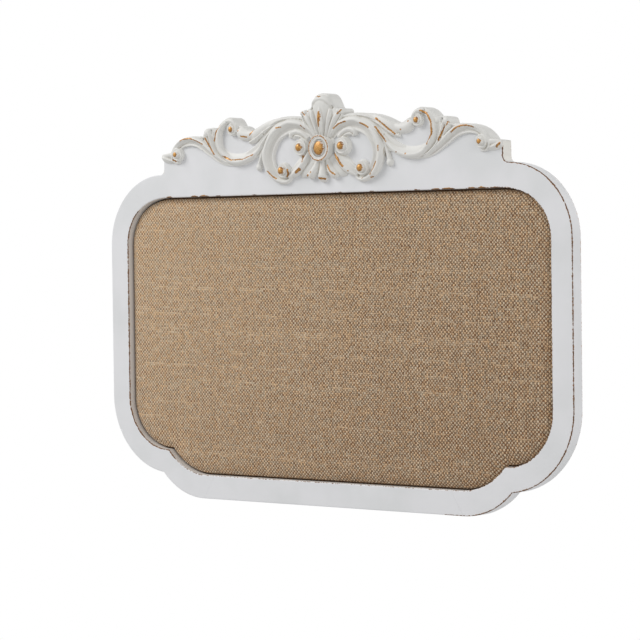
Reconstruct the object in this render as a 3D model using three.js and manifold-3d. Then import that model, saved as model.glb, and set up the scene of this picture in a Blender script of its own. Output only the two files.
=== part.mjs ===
// A wall-hung pin board: a burlap-covered cork panel in a painted wooden frame
// with a cast scroll crest. Millimetres, +Z up. The front looks along -Y and the
// wall is the plane y = 0. The origin is on the wall, on the centre line, at the
// height where the two wall hooks carry the hanger rings.
import * as THREE from 'three';
import { mergeVertices } from 'three/addons/utils/BufferGeometryUtils.js';
import Module from 'manifold-3d';

const wasm = await Module();
wasm.setup();

// Frame
const FRAME_WIDTH = 609.6;
const FRAME_HEIGHT = 424.2;
const FRAME_THICKNESS = 15;
const RIM_WIDTH = 25;
const CREST_RISE = 102;
const SHOULDER_RISE = 24.8;
const CORNER_RADIUS = 75;
const LOBE_RADIUS = 82.8;
const LOBE_HEIGHT = 108;
const FOOT_RADIUS = 80;
const CUSP_REACH = 49.5;
const ARRIS = 1;
const FACETS = 12;
const LOBE_FACETS = 10;
const HEAD_FACETS = 8;

// Opening in the frame: how much smaller its curves are than the outer ones
const CORNER_RIM = 26.5;
const HEAD_SAG = 1.7;
const HEAD_ANGLE = THREE.MathUtils.degToRad(70);
const LOBE_RIM = 27.3;
const LOBE_DROP = 2;
const FOOT_RIM = 10;
const FOOT_NARROWING = 3.5;

// Crest: its outline and every scroll are shares of its rise and its half width
const CREST_INSET = 78.8;
const CREST_STEP = 6;
const BAND_HALF_WIDTH = 7;
const RELIEF = 10.4;
const ROSETTE_RADIUS = 13;
const ROSETTE_FACETS = 18;
const EYE_FACETS = 10;

// Joints between the four frame members
const GLUE_LINE = 0.2;
const MITRE_ANGLE = THREE.MathUtils.degToRad(45);
const SCARF_LEAN = 15.5;
const DOWEL_RADIUS = 2.5;
const DOWEL_LENGTH = 24;
const DOWEL_SPACING = 10;
const DOWEL_FACETS = 8;

// Panel: hardboard, cork, wadding and burlap
const REBATE_WIDTH = 8;
const BACKING_THICKNESS = 2.5;
const BACKING_PLAY = 0.5;
const PANEL_GAP = 1.7;
const BURLAP_THICKNESS = 0.8;
const HEM_WIDTH = 20;
const CORK_THICKNESS = 4;
const WADDING_THICKNESS = 2.2;
const WADDING_EDGE = 0.5;
const ROLL_WIDTH = 17;
const ROLL_STEPS = 3;
const BURLAP_ROUND = 2.4;
const INNER_ROUND = 1.9;
const CORK_BEVEL = 1.5;
const CROWN_SHARE = 0.82;
const CROWN_CENTRE_SHARE = 0.45;

// Clearances
const SEAT_GAP = 0.3;
const TURNING_GAP = 0.5;
const OVERRUN = 5;

// Turn buttons and their screws
const BUTTON_INSET = 14;
const BUTTON_WIDTH = 10;
const BUTTON_REACH = 23;
const BUTTON_THICKNESS = 1;
const BUTTON_SPAN = 110;
const SIDE_BUTTON_RISE = 77;
const SCREW_RADIUS = 1.5;
const SCREW_LENGTH = 10;
const SCREW_POINT = 3;
const SCREW_HEAD_RADIUS = 3.2;
const SCREW_HEAD_HEIGHT = 1.8;
const HEAD_SHOULDER_SHARE = 0.72;
const RECESS_WIDTH = 0.9;
const RECESS_SPAN = 3.4;
const RECESS_DEPTH = 1;
const ROUND_FACETS = 12;

// Ring hangers
const HANGER_INSET = 101.6;
const HANGER_RISE = 27.8;
const STRAP_WIDTH = 12;
const STRAP_LENGTH = 16.5;
const STRAP_SHEET = 0.8;
const STRAP_SCREW_DROP = 9.5;
const RING_WIRE_RADIUS = 1.2;
const RING_HALF_WIDTH = 9;
const RING_REACH = 16;
const RING_SIDES = 8;
const RING_BAR_STEPS = 2;
const RING_BOW_STEPS = 14;
const RING_BOW_POWER = 0.8;

// Wall bumpers
const BUMPER_RADIUS = 5;
const BUMPER_HEIGHT = 5;
const BUMPER_DRAFT = 0.8;
const BUMPER_ANGLE = THREE.MathUtils.degToRad(-50);
const BUMPER_INSET = 16.5;

// Places that follow from the sizes
const HALF_WIDTH = FRAME_WIDTH / 2;
const FOOT_HALF_SPAN = HALF_WIDTH - LOBE_RADIUS - CUSP_REACH;
const SCARF_INNER_SPAN = FOOT_HALF_SPAN - SCARF_LEAN;
const CREST_HALF_WIDTH = HALF_WIDTH - CREST_INSET;
const OPENING_TOP = FRAME_HEIGHT - CREST_RISE;
const SHOULDER_HEIGHT = OPENING_TOP + SHOULDER_RISE;
const SIDE_TOP = SHOULDER_HEIGHT - CORNER_RADIUS;
const OPENING_HALF_WIDTH = HALF_WIDTH - RIM_WIDTH;
const OPENING_CORNER_RADIUS = CORNER_RADIUS - CORNER_RIM;
const OPENING_CORNER_HEIGHT = OPENING_TOP - OPENING_CORNER_RADIUS - HEAD_SAG;
const OPENING_LOBE_RADIUS = LOBE_RADIUS - LOBE_RIM;
const OPENING_LOBE_HEIGHT = LOBE_HEIGHT - LOBE_DROP;
const OPENING_FOOT_RADIUS = FOOT_RADIUS - FOOT_RIM;
const OPENING_FOOT_HALF_SPAN = FOOT_HALF_SPAN - FOOT_NARROWING;
const SIDE_BUTTON_HEIGHT = LOBE_HEIGHT + SIDE_BUTTON_RISE;
const HANGER_SPAN = HALF_WIDTH - HANGER_INSET;
const KNUCKLE_HEIGHT = OPENING_TOP + HANGER_RISE;
const BACKING_FRONT = FRAME_THICKNESS - BACKING_THICKNESS;
const CORK_BACK = BACKING_FRONT - BURLAP_THICKNESS;
const CORK_FRONT = CORK_BACK - CORK_THICKNESS;
const COVER_WALL = BURLAP_THICKNESS + SEAT_GAP;
const CORK_INSET = PANEL_GAP + COVER_WALL;
const WADDING_INSET = CORK_INSET + CORK_BEVEL + SEAT_GAP;
const WADDING_TOP = CORK_FRONT - WADDING_THICKNESS;
const WADDING_RIM = CORK_FRONT - WADDING_EDGE;
const RING_HOLE_RADIUS = RING_WIRE_RADIUS + SEAT_GAP;
const KNUCKLE_RADIUS = RING_HOLE_RADIUS + STRAP_SHEET;
const KNUCKLE_DEPTH = FRAME_THICKNESS + KNUCKLE_RADIUS;
const HOOK_HEIGHT = KNUCKLE_HEIGHT + RING_REACH - RING_WIRE_RADIUS;
const WALL_DEPTH = FRAME_THICKNESS + BUMPER_HEIGHT;
const BUTTON_BACK = FRAME_THICKNESS + SEAT_GAP;
const BUTTON_SCREW_SEAT = BUTTON_BACK + BUTTON_THICKNESS + SEAT_GAP;
const STRAP_TOP = FRAME_THICKNESS + 2 * STRAP_SHEET;
const STRAP_SCREW_HEIGHT = KNUCKLE_HEIGHT - STRAP_SCREW_DROP;

// Outline of the crest above the shoulders, from the right-hand step to the top.
// Each point is [share of the crest's half width, share of its rise].
const crestOutlineShares = [
  [0.993, 0.453], [0.938, 0.469], [0.912, 0.532], [0.878, 0.582], [0.834, 0.618],
  [0.788, 0.631], [0.719, 0.627], [0.717, 0.665], [0.705, 0.698], [0.677, 0.712],
  [0.624, 0.708], [0.611, 0.747], [0.593, 0.784], [0.566, 0.808], [0.542, 0.796],
  [0.525, 0.759], [0.515, 0.720], [0.491, 0.704], [0.465, 0.675], [0.434, 0.661],
  [0.398, 0.676], [0.363, 0.710], [0.323, 0.745], [0.274, 0.772], [0.212, 0.786],
  [0.159, 0.784], [0.119, 0.776], [0.125, 0.812], [0.115, 0.839], [0.088, 0.843],
  [0.065, 0.835], [0.062, 0.884], [0.051, 0.945], [0.034, 0.986],
];

// The carving as strokes. Each stroke has a height, as a share of the relief, and
// the points of its middle line: [share of half width, share of rise, share of the
// widest band's half width].
const palmetteShares = [
  { height: 0.86, line: [[0, 0.47, 0.5], [0, 0.567, 0.6], [0, 0.684, 0.8], [0, 0.802, 0.97], [0, 0.9, 1.09],
    [0, 0.954, 0.91]] },
];
const centreSideShares = [
  { height: 0.66, line: [[0.018, 0.567, 0.34], [0.029, 0.684, 0.46], [0.042, 0.802, 0.51],
    [0.049, 0.92, 0.35]] },
  { height: 0.56, line: [[0.027, 0.567, 0.34], [0.049, 0.665, 0.46], [0.071, 0.753, 0.51],
    [0.086, 0.812, 0.4]] },
  { height: 0.48, line: [[0.035, 0.557, 0.31], [0.066, 0.645, 0.43], [0.095, 0.733, 0.49],
    [0.113, 0.808, 0.34]] },
  { height: 0.6, line: [[0.022, 0.38, 0.34], [0.038, 0.282, 0.51], [0.056, 0.208, 0.69],
    [0.064, 0.186, 0.66]] },
  { height: 0.66, line: [[0.064, 0.488, 0.37], [0.069, 0.4, 0.49], [0.088, 0.312, 0.57],
    [0.117, 0.241, 0.57],
    [0.15, 0.184, 0.34]] },
  { height: 0.55, line: [[0.093, 0.4, 0.51], [0.124, 0.322, 0.71], [0.164, 0.247, 0.77],
    [0.204, 0.188, 0.66]] },
  { height: 0.66, line: [[0.044, 0.557, 0.43], [0.066, 0.625, 0.6], [0.106, 0.665, 0.77],
    [0.159, 0.68, 0.89],
    [0.212, 0.671, 0.91], [0.257, 0.631, 0.94], [0.292, 0.563, 0.97], [0.316, 0.469, 1], [0.321, 0.371, 1],
    [0.312, 0.273, 0.93], [0.288, 0.2, 0.8], [0.254, 0.155, 0.69], [0.221, 0.143, 0.57]] },
  { height: 0.5, line: [[0.235, 0.145, 0.6], [0.208, 0.151, 0.54], [0.19, 0.19, 0.49], [0.188, 0.243, 0.43],
    [0.204, 0.292, 0.34]] },
  { height: 0.42, line: [[0.124, 0.759, 0.29], [0.195, 0.766, 0.34], [0.257, 0.751, 0.37],
    [0.305, 0.712, 0.4],
    [0.345, 0.66, 0.43], [0.385, 0.604, 0.4], [0.416, 0.565, 0.31], [0.434, 0.542, 0.17]] },
  { height: 0.5, line: [[0.15, 0.733, 0.37], [0.212, 0.735, 0.46], [0.265, 0.698, 0.51],
    [0.305, 0.637, 0.54],
    [0.341, 0.561, 0.57]] },
  { height: 0.36, line: [[0.345, 0.488, 0.3], [0.363, 0.42, 0.26], [0.374, 0.347, 0.31], [0.383, 0.3, 0.57],
    [0.388, 0.267, 0.37]] },
  { height: 0.3, line: [[0.106, 0.5, 0.3], [0.119, 0.58, 0.37], [0.15, 0.606, 0.37], [0.175, 0.582, 0.34],
    [0.179, 0.547, 0.23]] },
];
const petalMiddleShares = [
  { height: 0.72, line: [[0, 0.371, 0.37], [0, 0.273, 0.51], [0, 0.194, 0.69], [0, 0.159, 0.69]] },
];
const armShares = [
  { height: 0.54, line: [[0.352, 0.527, 0.57], [0.385, 0.463, 0.66], [0.429, 0.398, 0.74],
    [0.478, 0.367, 0.79],
    [0.531, 0.365, 0.83], [0.58, 0.398, 0.91], [0.613, 0.475, 0.97], [0.624, 0.576, 0.94], [0.615, 0.67, 0.8],
    [0.591, 0.733, 0.69], [0.56, 0.761, 0.6]] },
  { height: 0.44, line: [[0.571, 0.759, 0.63], [0.54, 0.753, 0.54], [0.522, 0.704, 0.46],
    [0.529, 0.651, 0.4]] },
  { height: 0.42, line: [[0.535, 0.622, 0.4], [0.5, 0.608, 0.54], [0.469, 0.6, 0.46],
    [0.449, 0.584, 0.23]] },
  { height: 0.36, line: [[0.52, 0.684, 0.37], [0.496, 0.665, 0.46], [0.469, 0.635, 0.37],
    [0.451, 0.612, 0.23]] },
  { height: 0.5, line: [[0.566, 0.339, 0.23], [0.606, 0.369, 0.4], [0.646, 0.437, 0.51],
    [0.677, 0.522, 0.57],
    [0.699, 0.596, 0.54], [0.704, 0.645, 0.4]] },
  { height: 0.56, line: [[0.619, 0.41, 0.37], [0.655, 0.508, 0.51], [0.675, 0.602, 0.6],
    [0.683, 0.669, 0.49]] },
  { height: 0.5, line: [[0.637, 0.488, 0.37], [0.65, 0.586, 0.51], [0.652, 0.661, 0.49]] },
  { height: 0.56, line: [[0.602, 0.351, 0.34], [0.646, 0.4, 0.46], [0.69, 0.463, 0.57], [0.73, 0.525, 0.66],
    [0.77, 0.573, 0.69], [0.814, 0.586, 0.69], [0.858, 0.565, 0.66], [0.896, 0.516, 0.6], [0.919, 0.449, 0.54]] },
  { height: 0.5, line: [[0.913, 0.484, 0.57], [0.92, 0.425, 0.49], [0.903, 0.384, 0.43],
    [0.876, 0.386, 0.37],
    [0.863, 0.429, 0.31]] },
  { height: 0.38, line: [[0.925, 0.386, 0.34], [0.95, 0.394, 0.54], [0.975, 0.42, 0.54],
    [0.989, 0.435, 0.34]] },
];

// Round eyes of the scrolls: place as above, then radius as a share of the widest
// band's half width and height as a share of the relief.
const centreEyeShares = [
  { at: [0.124, 0.464], radius: 1.36, height: 0.78 },
  { at: [0.23, 0.238], radius: 1.05, height: 0.66 },
];
const armEyeShares = [
  { at: [0.546, 0.694], radius: 0.98, height: 0.46 },
  { at: [0.888, 0.448], radius: 1.02, height: 0.62 },
];

// Sections: of a carved band as [share of its half width, share of its rise], and of
// the turned eyes and rosette as [share of the radius, share of the height].
const sectionShares = [[1, 0], [0.86, 0.58], [0, 1], [-0.86, 0.58], [-1, 0]];
const eyeShares = [[0, 1], [0.42, 0.9], [0.62, 0.62], [0.9, 0.5], [1, 0]];
const rosetteShares = [[0, 1], [0.34, 0.92], [0.54, 0.7], [0.62, 0.5], [0.74, 0.56], [0.86, 0.74], [0.98, 0.6], [1, 0]];
const rosetteAtShares = [0, 0.449];

// Helpers
function manifoldOf(geometry) {
  const bare = geometry.clone();
  bare.deleteAttribute('normal');
  bare.deleteAttribute('uv');
  const merged = mergeVertices(bare);
  const mesh = new wasm.Mesh({
    numProp: 3,
    vertProperties: new Float32Array(merged.attributes.position.array),
    triVerts: new Uint32Array(merged.index.array),
  });
  return new wasm.Manifold(mesh);
}

function geometryOf(solid) {
  const mesh = solid.getMesh();
  const geometry = new THREE.BufferGeometry();
  geometry.setAttribute('position', new THREE.BufferAttribute(new Float32Array(mesh.vertProperties), 3));
  geometry.setIndex(new THREE.BufferAttribute(new Uint32Array(mesh.triVerts), 1));
  return geometry;
}

function joined(geometries) {
  return geometries.map(manifoldOf).reduce((all, next) => all.add(next));
}

function cut(solid, tools) {
  return tools.reduce((rest, tool) => rest.subtract(tool), solid);
}

function arc(centreX, centreZ, radius, start, end, steps) {
  const points = [];
  for (let i = 0; i <= steps; i += 1) {
    const angle = THREE.MathUtils.lerp(start, end, i / steps);
    points.push(new THREE.Vector2(centreX + radius * Math.cos(angle), centreZ + radius * Math.sin(angle)));
  }
  return points;
}

// Where two circles cross, taking the crossing that lies lower and further out.
function crossing(a, radiusA, b, radiusB) {
  const apart = b.clone().sub(a);
  const distance = apart.length();
  const along = (distance ** 2 + radiusA ** 2 - radiusB ** 2) / (2 * distance);
  const off = Math.sqrt(radiusA ** 2 - along ** 2);
  const unit = apart.normalize();
  const foot = a.clone().addScaledVector(unit, along);
  return foot.addScaledVector(new THREE.Vector2(-unit.y, unit.x), off);
}

// The right half of an outline, from bottom to top, closed by its mirror image.
function mirroredOutline(half) {
  const left = half.filter((point) => point.x > 0).map((point) => new THREE.Vector2(-point.x, point.y));
  return [...half, ...left.reverse()];
}

function outerOutline() {
  const lobe = new THREE.Vector2(HALF_WIDTH - LOBE_RADIUS, LOBE_HEIGHT);
  const foot = new THREE.Vector2(FOOT_HALF_SPAN, FOOT_RADIUS);
  const cusp = crossing(lobe, LOBE_RADIUS, foot, FOOT_RADIUS);
  const footEnd = Math.atan2(cusp.y - foot.y, cusp.x - foot.x);
  const lobeStart = Math.atan2(cusp.y - lobe.y, cusp.x - lobe.x);
  const cornerX = HALF_WIDTH - CORNER_RADIUS;
  const step = crestPoint(crestOutlineShares[0]);
  const crest = crestOutlineShares.map(crestPoint);
  return mirroredOutline([
    ...arc(foot.x, foot.y, FOOT_RADIUS, -Math.PI / 2, footEnd, FACETS / 2),
    ...arc(lobe.x, lobe.y, LOBE_RADIUS, lobeStart, 0, FACETS).slice(1),
    ...arc(cornerX, SIDE_TOP, CORNER_RADIUS, 0, Math.PI / 2, FACETS),
    ...arc(step.x + CREST_STEP, SHOULDER_HEIGHT + CREST_STEP, CREST_STEP, -Math.PI / 2, -Math.PI, FACETS / 4).slice(1),
    ...crest,
    new THREE.Vector2(0, FRAME_HEIGHT),
  ]);
}

// The opening's outline, moved outward by a distance, or inward where it is negative.
function openingOutline(outward) {
  const lobeRadius = OPENING_LOBE_RADIUS + outward;
  const footRadius = OPENING_FOOT_RADIUS + outward;
  const lobe = new THREE.Vector2(OPENING_HALF_WIDTH - OPENING_LOBE_RADIUS, OPENING_LOBE_HEIGHT);
  const foot = new THREE.Vector2(OPENING_FOOT_HALF_SPAN, RIM_WIDTH + OPENING_FOOT_RADIUS);
  const cusp = crossing(lobe, lobeRadius, foot, footRadius);
  const corner = new THREE.Vector2(OPENING_HALF_WIDTH - OPENING_CORNER_RADIUS, OPENING_CORNER_HEIGHT);
  const wider = HEAD_SAG / (1 - Math.sin(HEAD_ANGLE));
  const head = corner.clone();
  head.x -= wider * Math.cos(HEAD_ANGLE);
  head.y -= wider * Math.sin(HEAD_ANGLE);
  const footEnd = Math.atan2(cusp.y - foot.y, cusp.x - foot.x);
  const lobeStart = Math.atan2(cusp.y - lobe.y, cusp.x - lobe.x);
  const cornerRadius = OPENING_CORNER_RADIUS + outward;
  return mirroredOutline([
    ...arc(foot.x, foot.y, footRadius, -Math.PI / 2, footEnd, FACETS / 2),
    ...arc(lobe.x, lobe.y, lobeRadius, lobeStart, 0, LOBE_FACETS).slice(1),
    ...arc(corner.x, corner.y, cornerRadius, 0, HEAD_ANGLE, HEAD_FACETS),
    ...arc(head.x, head.y, cornerRadius + wider, HEAD_ANGLE, Math.PI / 2, FACETS / 4).slice(1),
  ]);
}

// A flat board between two depths behind the frame's front face.
function board(outline, front, back, bevel = 0) {
  const geometry = new THREE.ExtrudeGeometry(new THREE.Shape(outline), {
    depth: back - front - 2 * bevel,
    bevelEnabled: bevel > 0,
    bevelThickness: bevel,
    bevelSize: bevel,
    bevelOffset: -bevel,
    bevelSegments: 1,
  });
  geometry.rotateX(Math.PI / 2);
  geometry.translate(0, back - bevel, 0);
  return geometry;
}

// A closed skin over rings of equal length, listed from the first cap to the last.
function skin(rings, closed = false) {
  const count = rings[0].length;
  const positions = rings.flat().flatMap((point) => [point.x, point.y, point.z]);
  const index = [];
  const bands = closed ? rings.length : rings.length - 1;
  for (let ring = 0; ring < bands; ring += 1) {
    const low = ring * count;
    const high = ((ring + 1) % rings.length) * count;
    for (let i = 0; i < count; i += 1) {
      const next = (i + 1) % count;
      index.push(low + i, low + next, high + next, low + i, high + next, high + i);
    }
  }
  if (!closed) {
    const flat = (ring) => ring.map((point) => new THREE.Vector2(point.x, point.z));
    const last = (rings.length - 1) * count;
    for (const [a, b, c] of capFaces(rings[0], flat)) index.push(a, c, b);
    for (const [a, b, c] of capFaces(rings[rings.length - 1], flat)) index.push(last + a, last + b, last + c);
  }
  const geometry = new THREE.BufferGeometry();
  geometry.setAttribute('position', new THREE.Float32BufferAttribute(positions, 3));
  geometry.setIndex(index);
  return geometry;
}

function capFaces(ring, flat) {
  const level = ring.every((point) => point.y === ring[0].y);
  if (level) return THREE.ShapeUtils.triangulateShape(flat(ring), []);
  return ring.slice(2).map((_, i) => [0, i + 1, i + 2]);
}

function ringAt(outline, depth) {
  return outline.map((point) => new THREE.Vector3(point.x, depth, point.y));
}

function crestPoint([x, z]) {
  return new THREE.Vector2(x * CREST_HALF_WIDTH, OPENING_TOP + z * CREST_RISE);
}

// One carved band: a low rounded section swept along its middle line on the board.
function stroke({ height, line }, grow = 0) {
  const middle = line.map(([x, z, width]) => {
    const place = crestPoint([x, z]);
    return new THREE.Vector3(place.x, width * BAND_HALF_WIDTH, place.y);
  });
  const curve = new THREE.CatmullRomCurve3(middle, false, 'centripetal');
  const steps = line.length * 2 - 2;
  const widest = Math.max(...line.map(([, , width]) => width));
  const rings = [];
  for (let i = 0; i <= steps; i += 1) {
    const here = curve.getPoint(i / steps);
    const along = curve.getTangent(i / steps);
    const across = new THREE.Vector2(-along.z, along.x).normalize();
    const half = here.y + grow;
    const rise = (height * RELIEF * here.y) / (widest * BAND_HALF_WIDTH) + grow;
    rings.push(sectionShares.map(([side, up]) => new THREE.Vector3(
      here.x + across.x * side * half,
      -up * rise,
      here.z + across.y * side * half,
    )));
  }
  return skin(rings);
}

function turned(profile, x, z, facets) {
  const geometry = new THREE.LatheGeometry(profile, facets);
  geometry.scale(1, -1, 1);
  flipped(geometry);
  geometry.translate(x, 0, z);
  return geometry;
}

function flipped(geometry) {
  const order = geometry.index.array;
  for (let i = 0; i < order.length; i += 3) {
    [order[i], order[i + 1]] = [order[i + 1], order[i]];
  }
  return geometry;
}

function mirrored(geometry) {
  const copy = geometry.clone();
  copy.scale(-1, 1, 1);
  return flipped(copy);
}

function eye({ at, radius, height }, grow = 0) {
  const place = crestPoint(at);
  const profile = eyeShares.map(([out, up]) => new THREE.Vector2(
    out * (radius * BAND_HALF_WIDTH + grow),
    up * (height * RELIEF + grow),
  ));
  return turned([new THREE.Vector2(0, 0), ...profile.reverse()], place.x, place.y, EYE_FACETS);
}

function rosette(grow = 0) {
  const place = crestPoint(rosetteAtShares);
  const profile = rosetteShares.map(([out, up]) => new THREE.Vector2(
    out * (ROSETTE_RADIUS + grow),
    up * (RELIEF + grow),
  ));
  return turned([new THREE.Vector2(0, 0), ...profile.reverse()], place.x, place.y, ROSETTE_FACETS);
}

function centreCasting(grow = 0) {
  const side = [
    ...centreSideShares.map((shares) => stroke(shares, grow)),
    ...centreEyeShares.map((shares) => eye(shares, grow)),
  ];
  const middle = [...palmetteShares, ...petalMiddleShares].map((shares) => stroke(shares, grow));
  return joined([rosette(grow), ...middle, ...side, ...side.map(mirrored)]);
}

function armCasting() {
  return joined([...armShares.map((shares) => stroke(shares)), ...armEyeShares.map((shares) => eye(shares))]);
}

// Frame members, cut from one blank at the mitres and scarfs
function frameBlank() {
  const blank = manifoldOf(board(outerOutline(), 0, FRAME_THICKNESS, ARRIS));
  return cut(blank, [
    manifoldOf(board(openingOutline(0), -OVERRUN, FRAME_THICKNESS + OVERRUN)),
    manifoldOf(board(openingOutline(REBATE_WIDTH), BACKING_FRONT, FRAME_THICKNESS + OVERRUN)),
  ]);
}

function mitreCorner() {
  const corner = new THREE.Vector2(HALF_WIDTH - CORNER_RADIUS, SIDE_TOP);
  const run = new THREE.Vector2(Math.cos(MITRE_ANGLE), Math.sin(MITRE_ANGLE));
  return { corner, run };
}

function topRegion(gap) {
  const { corner, run } = mitreCorner();
  const start = corner.clone().addScaledVector(new THREE.Vector2(-run.y, run.x), gap);
  const out = start.clone().addScaledVector(run, CORNER_RADIUS + RIM_WIDTH);
  return mirroredOutline([start, out, new THREE.Vector2(out.x, FRAME_HEIGHT + OVERRUN)]);
}

function bottomRegion(gap) {
  const lean = (FOOT_HALF_SPAN - SCARF_INNER_SPAN) / RIM_WIDTH;
  const below = FOOT_HALF_SPAN + lean * OVERRUN - gap;
  const above = SCARF_INNER_SPAN - lean * OVERRUN - gap;
  return mirroredOutline([new THREE.Vector2(below, -OVERRUN), new THREE.Vector2(above, RIM_WIDTH + OVERRUN)]);
}

function prism(outline) {
  return manifoldOf(board(outline, -OVERRUN, FRAME_THICKNESS + OVERRUN));
}

function sideRegion() {
  return prism([
    new THREE.Vector2(0, -OVERRUN),
    new THREE.Vector2(FRAME_WIDTH, -OVERRUN),
    new THREE.Vector2(FRAME_WIDTH, FRAME_HEIGHT + OVERRUN),
    new THREE.Vector2(0, FRAME_HEIGHT + OVERRUN),
  ]);
}

// Dowels: two across each joint
const dowelPlaces = [];
for (const side of [-1, 1]) {
  const word = side < 0 ? 'left' : 'right';
  const { corner, run } = mitreCorner();
  for (const [row, name] of [[-1, 'inner'], [1, 'outer']]) {
    const away = CORNER_RADIUS - RIM_WIDTH / 2 + (row * DOWEL_SPACING) / 2;
    const place = corner.clone().addScaledVector(run, away);
    dowelPlaces.push({ name: `dowel_top_${word}_${name}`, x: side * place.x, z: place.y, turn: -side * MITRE_ANGLE });
  }
  for (const [row, name] of [[-1, 'lower'], [1, 'upper']]) {
    const height = RIM_WIDTH / 2 + (row * DOWEL_SPACING) / 2;
    const along = THREE.MathUtils.lerp(FOOT_HALF_SPAN, SCARF_INNER_SPAN, height / RIM_WIDTH);
    dowelPlaces.push({ name: `dowel_bottom_${word}_${name}`, x: side * along, z: height, turn: Math.PI / 2 });
  }
}

function dowel({ x, z, turn }, grow = 0) {
  const geometry = new THREE.CylinderGeometry(DOWEL_RADIUS + grow, DOWEL_RADIUS + grow, DOWEL_LENGTH + 2 * grow,
    DOWEL_FACETS);
  geometry.rotateX(Math.PI / 2);
  geometry.rotateY(turn);
  geometry.translate(x, FRAME_THICKNESS / 2, z);
  return geometry;
}

// Turn buttons: place, and the angle that points the long end at the panel
const buttonPlaces = [
  { name: 'top_left', x: -BUTTON_SPAN, z: OPENING_TOP + BUTTON_INSET, turn: Math.PI },
  { name: 'top_right', x: BUTTON_SPAN, z: OPENING_TOP + BUTTON_INSET, turn: Math.PI },
  { name: 'side_right', x: OPENING_HALF_WIDTH + BUTTON_INSET, z: SIDE_BUTTON_HEIGHT, turn: -Math.PI / 2 },
  { name: 'bottom_right', x: BUTTON_SPAN, z: RIM_WIDTH - BUTTON_INSET, turn: 0 },
  { name: 'bottom_left', x: -BUTTON_SPAN, z: RIM_WIDTH - BUTTON_INSET, turn: 0 },
  { name: 'side_left', x: -OPENING_HALF_WIDTH - BUTTON_INSET, z: SIDE_BUTTON_HEIGHT, turn: Math.PI / 2 },
];

function buttonGeometry() {
  const half = BUTTON_WIDTH / 2;
  const outline = [
    ...arc(0, 0, half, Math.PI, 2 * Math.PI, FACETS / 2),
    ...arc(0, BUTTON_REACH - half, half, 0, Math.PI, FACETS / 2),
  ];
  const plate = manifoldOf(board(outline, 0, BUTTON_THICKNESS));
  const hole = arc(0, 0, SCREW_RADIUS + TURNING_GAP, 0, 2 * Math.PI, ROUND_FACETS).slice(1);
  return geometryOf(plate.subtract(manifoldOf(board(hole, -OVERRUN, OVERRUN))));
}

// A pan-head screw along Y, its head's underside at y = 0 and its shank towards the front
function screwGeometry() {
  const profile = [
    [0, -SCREW_LENGTH],
    [SCREW_RADIUS, SCREW_POINT - SCREW_LENGTH],
    [SCREW_RADIUS, 0],
    [SCREW_HEAD_RADIUS, 0],
    [SCREW_HEAD_RADIUS, SCREW_HEAD_HEIGHT / 2],
    [SCREW_HEAD_RADIUS * HEAD_SHOULDER_SHARE, SCREW_HEAD_HEIGHT],
    [0, SCREW_HEAD_HEIGHT],
  ].map(([x, y]) => new THREE.Vector2(x, y));
  const body = manifoldOf(new THREE.LatheGeometry(profile, ROUND_FACETS));
  const slots = [[RECESS_SPAN, RECESS_WIDTH], [RECESS_WIDTH, RECESS_SPAN]].map(([x, z]) => {
    const slot = new THREE.BoxGeometry(x, 2 * RECESS_DEPTH, z);
    slot.translate(0, SCREW_HEAD_HEIGHT, 0);
    return manifoldOf(slot);
  });
  return geometryOf(cut(body, slots));
}

// A blind hole in the frame's back, a little deeper than the point of a screw whose
// head sits at the given depth
function screwHole(x, z, seat) {
  const hole = arc(x, z, SCREW_RADIUS + SEAT_GAP, 0, 2 * Math.PI, ROUND_FACETS).slice(1);
  return manifoldOf(board(hole, seat - SCREW_LENGTH - SEAT_GAP, FRAME_THICKNESS + OVERRUN));
}

// Ring hangers
function strapGeometry() {
  const half = STRAP_WIDTH / 2;
  const outline = [
    new THREE.Vector2(half, 0),
    new THREE.Vector2(-half, 0),
    ...arc(0, half - STRAP_LENGTH, half, -Math.PI, 0, FACETS / 2),
  ];
  const plate = board(outline, -KNUCKLE_RADIUS, 2 * STRAP_SHEET - KNUCKLE_RADIUS);
  const wrap = new THREE.CylinderGeometry(KNUCKLE_RADIUS, KNUCKLE_RADIUS, STRAP_WIDTH, ROUND_FACETS);
  wrap.rotateZ(Math.PI / 2);
  const bar = new THREE.CylinderGeometry(RING_HOLE_RADIUS, RING_HOLE_RADIUS, STRAP_WIDTH + OVERRUN, ROUND_FACETS);
  bar.rotateZ(Math.PI / 2);
  const hole = arc(0, -STRAP_SCREW_DROP, SCREW_RADIUS + SEAT_GAP, 0, 2 * Math.PI, ROUND_FACETS).slice(1);
  const drill = manifoldOf(board(hole, -OVERRUN, OVERRUN));
  return geometryOf(cut(joined([plate, wrap]), [manifoldOf(bar), drill]));
}

function ringPath() {
  const path = [];
  for (let i = 0; i <= RING_BAR_STEPS; i += 1) {
    path.push(new THREE.Vector3(THREE.MathUtils.lerp(-RING_HALF_WIDTH, RING_HALF_WIDTH, i / RING_BAR_STEPS), 0, 0));
  }
  for (let i = 1; i < RING_BOW_STEPS; i += 1) {
    const angle = (Math.PI * i) / RING_BOW_STEPS;
    path.push(new THREE.Vector3(RING_HALF_WIDTH * Math.cos(angle), 0, RING_REACH * Math.sin(angle) ** RING_BOW_POWER));
  }
  return path;
}

function ringGeometry() {
  const path = ringPath();
  const rings = path.map((point, i) => {
    const before = path[(i + path.length - 1) % path.length];
    const after = path[(i + 1) % path.length];
    const along = after.clone().sub(before).normalize();
    const across = new THREE.Vector3(-along.z, 0, along.x);
    return Array.from({ length: RING_SIDES }, (_, side) => {
      const angle = (2 * Math.PI * (side + 1 / 2)) / RING_SIDES;
      const spot = point.clone().addScaledVector(across, RING_WIRE_RADIUS * Math.cos(angle));
      spot.y -= RING_WIRE_RADIUS * Math.sin(angle);
      return spot;
    });
  });
  return skin(rings, true);
}

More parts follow.
